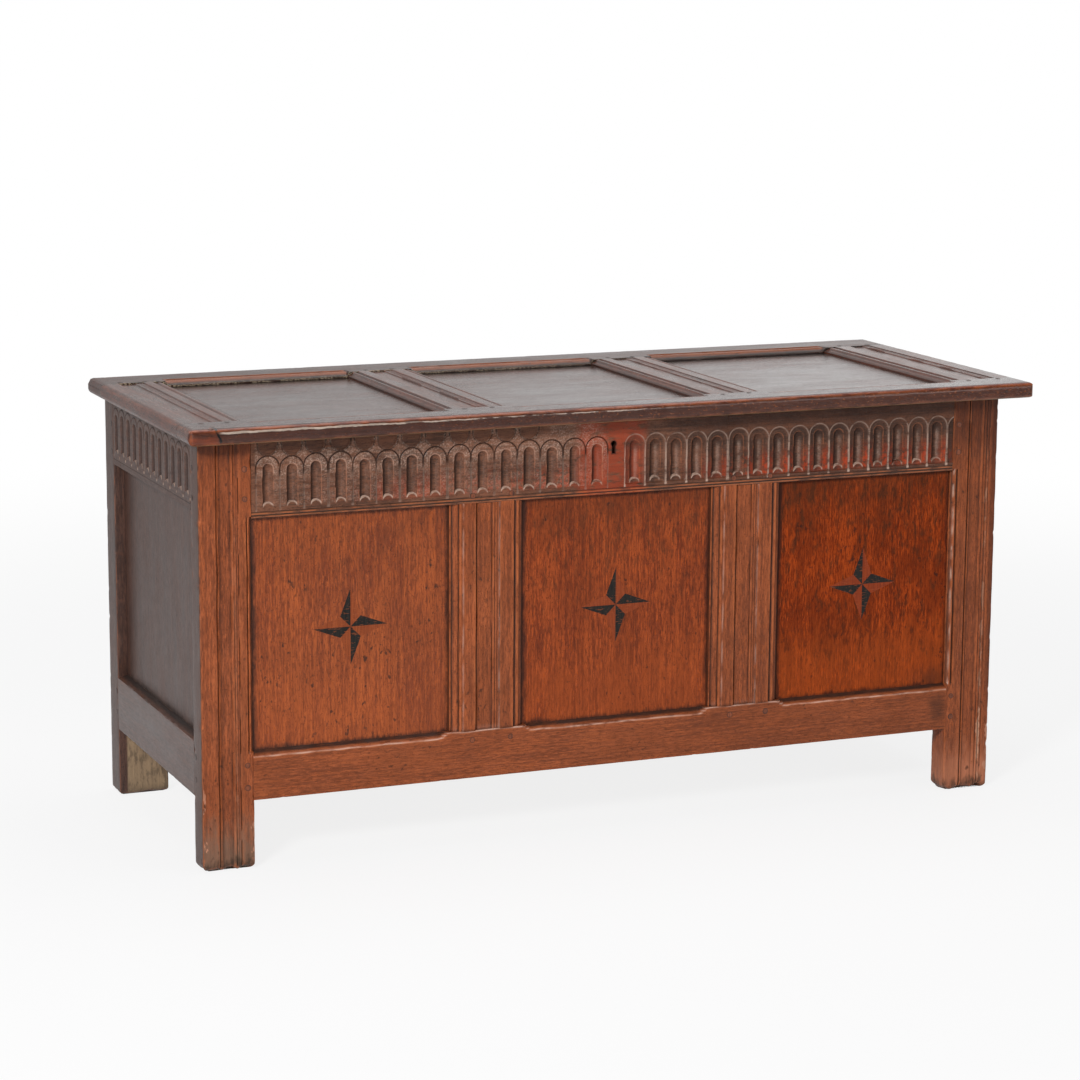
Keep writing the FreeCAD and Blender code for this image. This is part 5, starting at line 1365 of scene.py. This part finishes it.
            material = oak(f"lid_{where}_panel_oak", *lid_oak, "X", seed, 0.22,
                           window=((0, *bay), (1, near, far)), inner=(2, (low[2] + high[2]) / 2, -1),
                           stain=0.9, relief=0.32, vivid=1.1,
                           patches=((dark_edge, paint(38, 26, 20)), (scar, paint(24, 16, 13))))
            finish_nodes(material, f"lid_{where}_panel")


def clip_ends(piece, low, high, radius):
    """Rounds the top of a rail over at both of its ends."""
    for vertex in piece.data.vertices:
        x, z = vertex.co.x * MM, vertex.co.z * MM
        c = min(x - low[0], high[0] - x)
        if c < radius:
            inset = radius - math.sqrt(max(0, radius ** 2 - (radius - c) ** 2))
            vertex.co.z = min(z, high[2] - inset) / MM


class COFFER_OT_pegs(PieceOperator, bpy.types.Operator):
    """Set the worn oak pegs that hold the joints"""

    bl_idname = "coffer.pegs"
    bl_label = "Pegs"

    def make(self, sizes, colours):
        group, identifiers = peg_tree()
        left, right = extent("front_left_post")[0][0], extent("front_right_post")[1][0]
        front, back = extent("front_left_post")[0][1], extent("back_left_post")[1][1]
        lid_low, lid_high = extent("lid_front_rail")
        groups = {"front_pegs": [], "side_pegs": [], "back_pegs": [], "lid_pegs": []}
        for x in (-599, 581):
            groups["front_pegs"] += [((x, front, z), (0, -1, 0)) for z in (124, 158, 555, 599)]
            groups["back_pegs"] += [((x, back, z), (0, 1, 0)) for z in (123, 157, 567, 611)]
        for x in (-245, -183, 186, 248):
            groups["front_pegs"] += [((x, front, z), (0, -1, 0)) for z in (163, 537.5)]
        for x in (-261, -199, 170, 232):
            groups["back_pegs"] += [((x, back, z), (0, 1, 0)) for z in (165, 561.5)]
        for y in (-209, 229):
            for z in (136, 170, 556.5, 600.5):
                groups["side_pegs"] += [((left, y, z), (-1, 0, 0)), ((right, y, z), (1, 0, 0))]
        for y in (-222, 214):
            for x in (-658, -619, -252, -208, 173, 217, 605, 658):
                groups["lid_pegs"] += [((x, y, lid_high[2]), (0, 0, 1)),
                                       ((x, y, lid_low[2] - 0.1), (0, 0, -1))]
        woods = {"front_pegs": "frame", "side_pegs": "side", "back_pegs": "raw", "lid_pegs": "lid"}
        for seed, (node, pegs) in enumerate(groups.items(), start=5):
            light, dark = tones(woods[node])
            material = oak(node + "_oak", scaled(light, 0.72), scaled(dark, 0.6), "Z", seed, 0.42)
            base = bpy.data.meshes.new(node + "_points")
            base.from_pydata([tuple(part / MM for part in place) for place, facing in pegs], [], [])
            layer = base.attributes.new("facing", "FLOAT_VECTOR", "POINT")
            layer.data.foreach_set("vector", [part for place, facing in pegs for part in facing])
            values = {"Diameter": sizes.peg, "Stand": sizes.peg_proud, "Seed": seed, "Material": material}
            piece = grown(node + "_heads", group, identifiers, values, base)
            if node == "lid_pegs":
                for vertex in piece.data.vertices:
                    vertex.co.z = max(vertex.co.z, lid_low[2] / MM)
            shade(piece)
            settle(piece, material, "lid" if node == "lid_pegs" else "carcass", "oak_peg", node)


class COFFER_OT_ironwork(PieceOperator, bpy.types.Operator):
    """Finish the snipe hinges, the lock and its staple"""

    bl_idname = "coffer.ironwork"
    bl_label = "Ironwork"

    def make(self, sizes, colours):
        finish_nodes(iron(), "left_hinge_staple", "right_hinge_staple", "left_lid_eye", "right_lid_eye",
                     "lock_plate", "lock_guides", "lock_bolt", "lock_nails", "lid_lock_staple",
                     "lid_staple_tacks")


class COFFER_OT_stage(PieceOperator, bpy.types.Operator):
    """Set the floor, the soft lamps, the pale surround and the camera"""

    bl_idname = "coffer.stage"
    bl_label = "Stage"

    def make(self, sizes, colours):
        scene = bpy.context.scene
        white = {"Color": (1.0, 1.0, 1.0, 1.0)}

        def ray(t, kind):
            return t.node("ShaderNodeLightPath", {}, {}, f"Is {kind} Ray")

        reach = 9 * MM
        floor = add_object("floor", [(-reach, -reach, 0), (reach, -reach, 0), (reach, reach, 0),
                                     (-reach, reach, 0)], [(0, 1, 2, 3)])
        material, t = new_material("pale_floor")
        seen = ray(t, "Camera").most(ray(t, "Glossy") * 0.32)
        cloth = t.node("ShaderNodeBsdfDiffuse", {}, {"Color": (*colours.floor, 1.0)})
        glow = t.node("ShaderNodeEmission", {}, {**white, "Strength": 1.0})
        x, y, _ = t.parts(t.place())
        far = (x * x + y * y).root().step(1.0, 3.4)
        mixed = t.node("ShaderNodeMixShader", {}, {0: seen * (far * 0.16 + 0.84), 1: cloth, 2: glow})
        t.node("ShaderNodeOutputMaterial", {}, {"Surface": mixed})
        floor.data.materials.append(material)

        world = bpy.data.worlds.new("pale_surround")
        t = emptied(world)
        x, y, _ = t.parts(t.place())
        behind = y.step(-0.4, 0.5) * (x.step(0.2, 0.62) * 0.7 + 0.44) + 0.12
        seen = ray(t, "Camera").most(ray(t, "Transmission"))
        strength = seen.most(ray(t, "Glossy") * behind).most(0.12)
        sky = t.node("ShaderNodeBackground", {}, {**white, "Strength": strength})
        t.node("ShaderNodeOutputWorld", {}, {"Surface": sky})
        scene.world = world

        def lamp(name, place, aim, width, height, power):
            light = bpy.data.lights.new(name, "AREA")
            light.shape, light.size, light.size_y, light.energy = "RECTANGLE", width, height, power
            holder = placed(name, light)
            holder.location = place
            holder.rotation_euler = (Vector(aim) - Vector(place)).to_track_quat("-Z", "Y").to_euler()

        lamp("key_lamp", (-3.3, -3.4, 2.6), (0, 0, 0.35), 0.9, 0.8, 165)
        lamp("fill_lamp", (2.4, -3.8, 1.8), (0, 0, 0.3), 2.2, 1.8, 32)
        lamp("top_lamp", (0.2, 0.4, 3.4), (0, 0, 0.5), 3.0, 2.4, 52)

        data = bpy.data.cameras.new("view")
        data.lens, data.sensor_width, data.clip_end = 106.4, 36.0, 60.0
        camera = placed("view", data)
        eye = (-1.9557, -4.5834, 1.3854)
        yaw, pitch, roll = (math.radians(angle) for angle in (22.72, 11.08, 0.37))
        ahead = Vector((math.sin(yaw) * math.cos(pitch), math.cos(yaw) * math.cos(pitch), -math.sin(pitch)))
        level = Vector((math.cos(yaw), -math.sin(yaw), 0))
        up = level.cross(ahead)
        right = level * math.cos(roll) + up * math.sin(roll)
        upright = up * math.cos(roll) - level * math.sin(roll)
        camera.matrix_world = (Matrix.Translation(eye)
                               @ Matrix((right, upright, -ahead)).transposed().to_4x4())
        scene.camera = camera
        scene.view_settings.view_transform = "Standard"


OPERATORS = (COFFER_OT_stage, COFFER_OT_posts, COFFER_OT_front_frame, COFFER_OT_friezes,
             COFFER_OT_side_frames, COFFER_OT_back_frame, COFFER_OT_panels, COFFER_OT_lid, COFFER_OT_pegs,
             COFFER_OT_ironwork)


class COFFER_PT_pieces(bpy.types.Panel):
    """The coffer's sizes, colours and pieces"""

    bl_idname = "COFFER_PT_pieces"
    bl_label = "Joined oak coffer"
    bl_space_type = "VIEW_3D"
    bl_region_type = "UI"
    bl_category = "Coffer"

    def draw(self, context):
        for settings in (context.scene.coffer_sizes, context.scene.coffer_colours):
            box = self.layout.box()
            for name in settings.__annotations__:
                box.prop(settings, name)
        for operator in OPERATORS:
            self.layout.operator(operator.bl_idname)


CLASSES = (CofferSizes, CofferColours, *OPERATORS, COFFER_PT_pieces)


def register():
    for each in CLASSES:
        bpy.utils.register_class(each)
    bpy.types.Scene.coffer_sizes = bpy.props.PointerProperty(type=CofferSizes)
    bpy.types.Scene.coffer_colours = bpy.props.PointerProperty(type=CofferColours)


def unregister():
    del bpy.types.Scene.coffer_colours
    del bpy.types.Scene.coffer_sizes
    for each in reversed(CLASSES):
        bpy.utils.unregister_class(each)


def main():
    register()
    for operator in OPERATORS:
        group, name = operator.bl_idname.split(".")
        getattr(getattr(bpy.ops, group), name)()


if __name__ == "__main__":
    main()
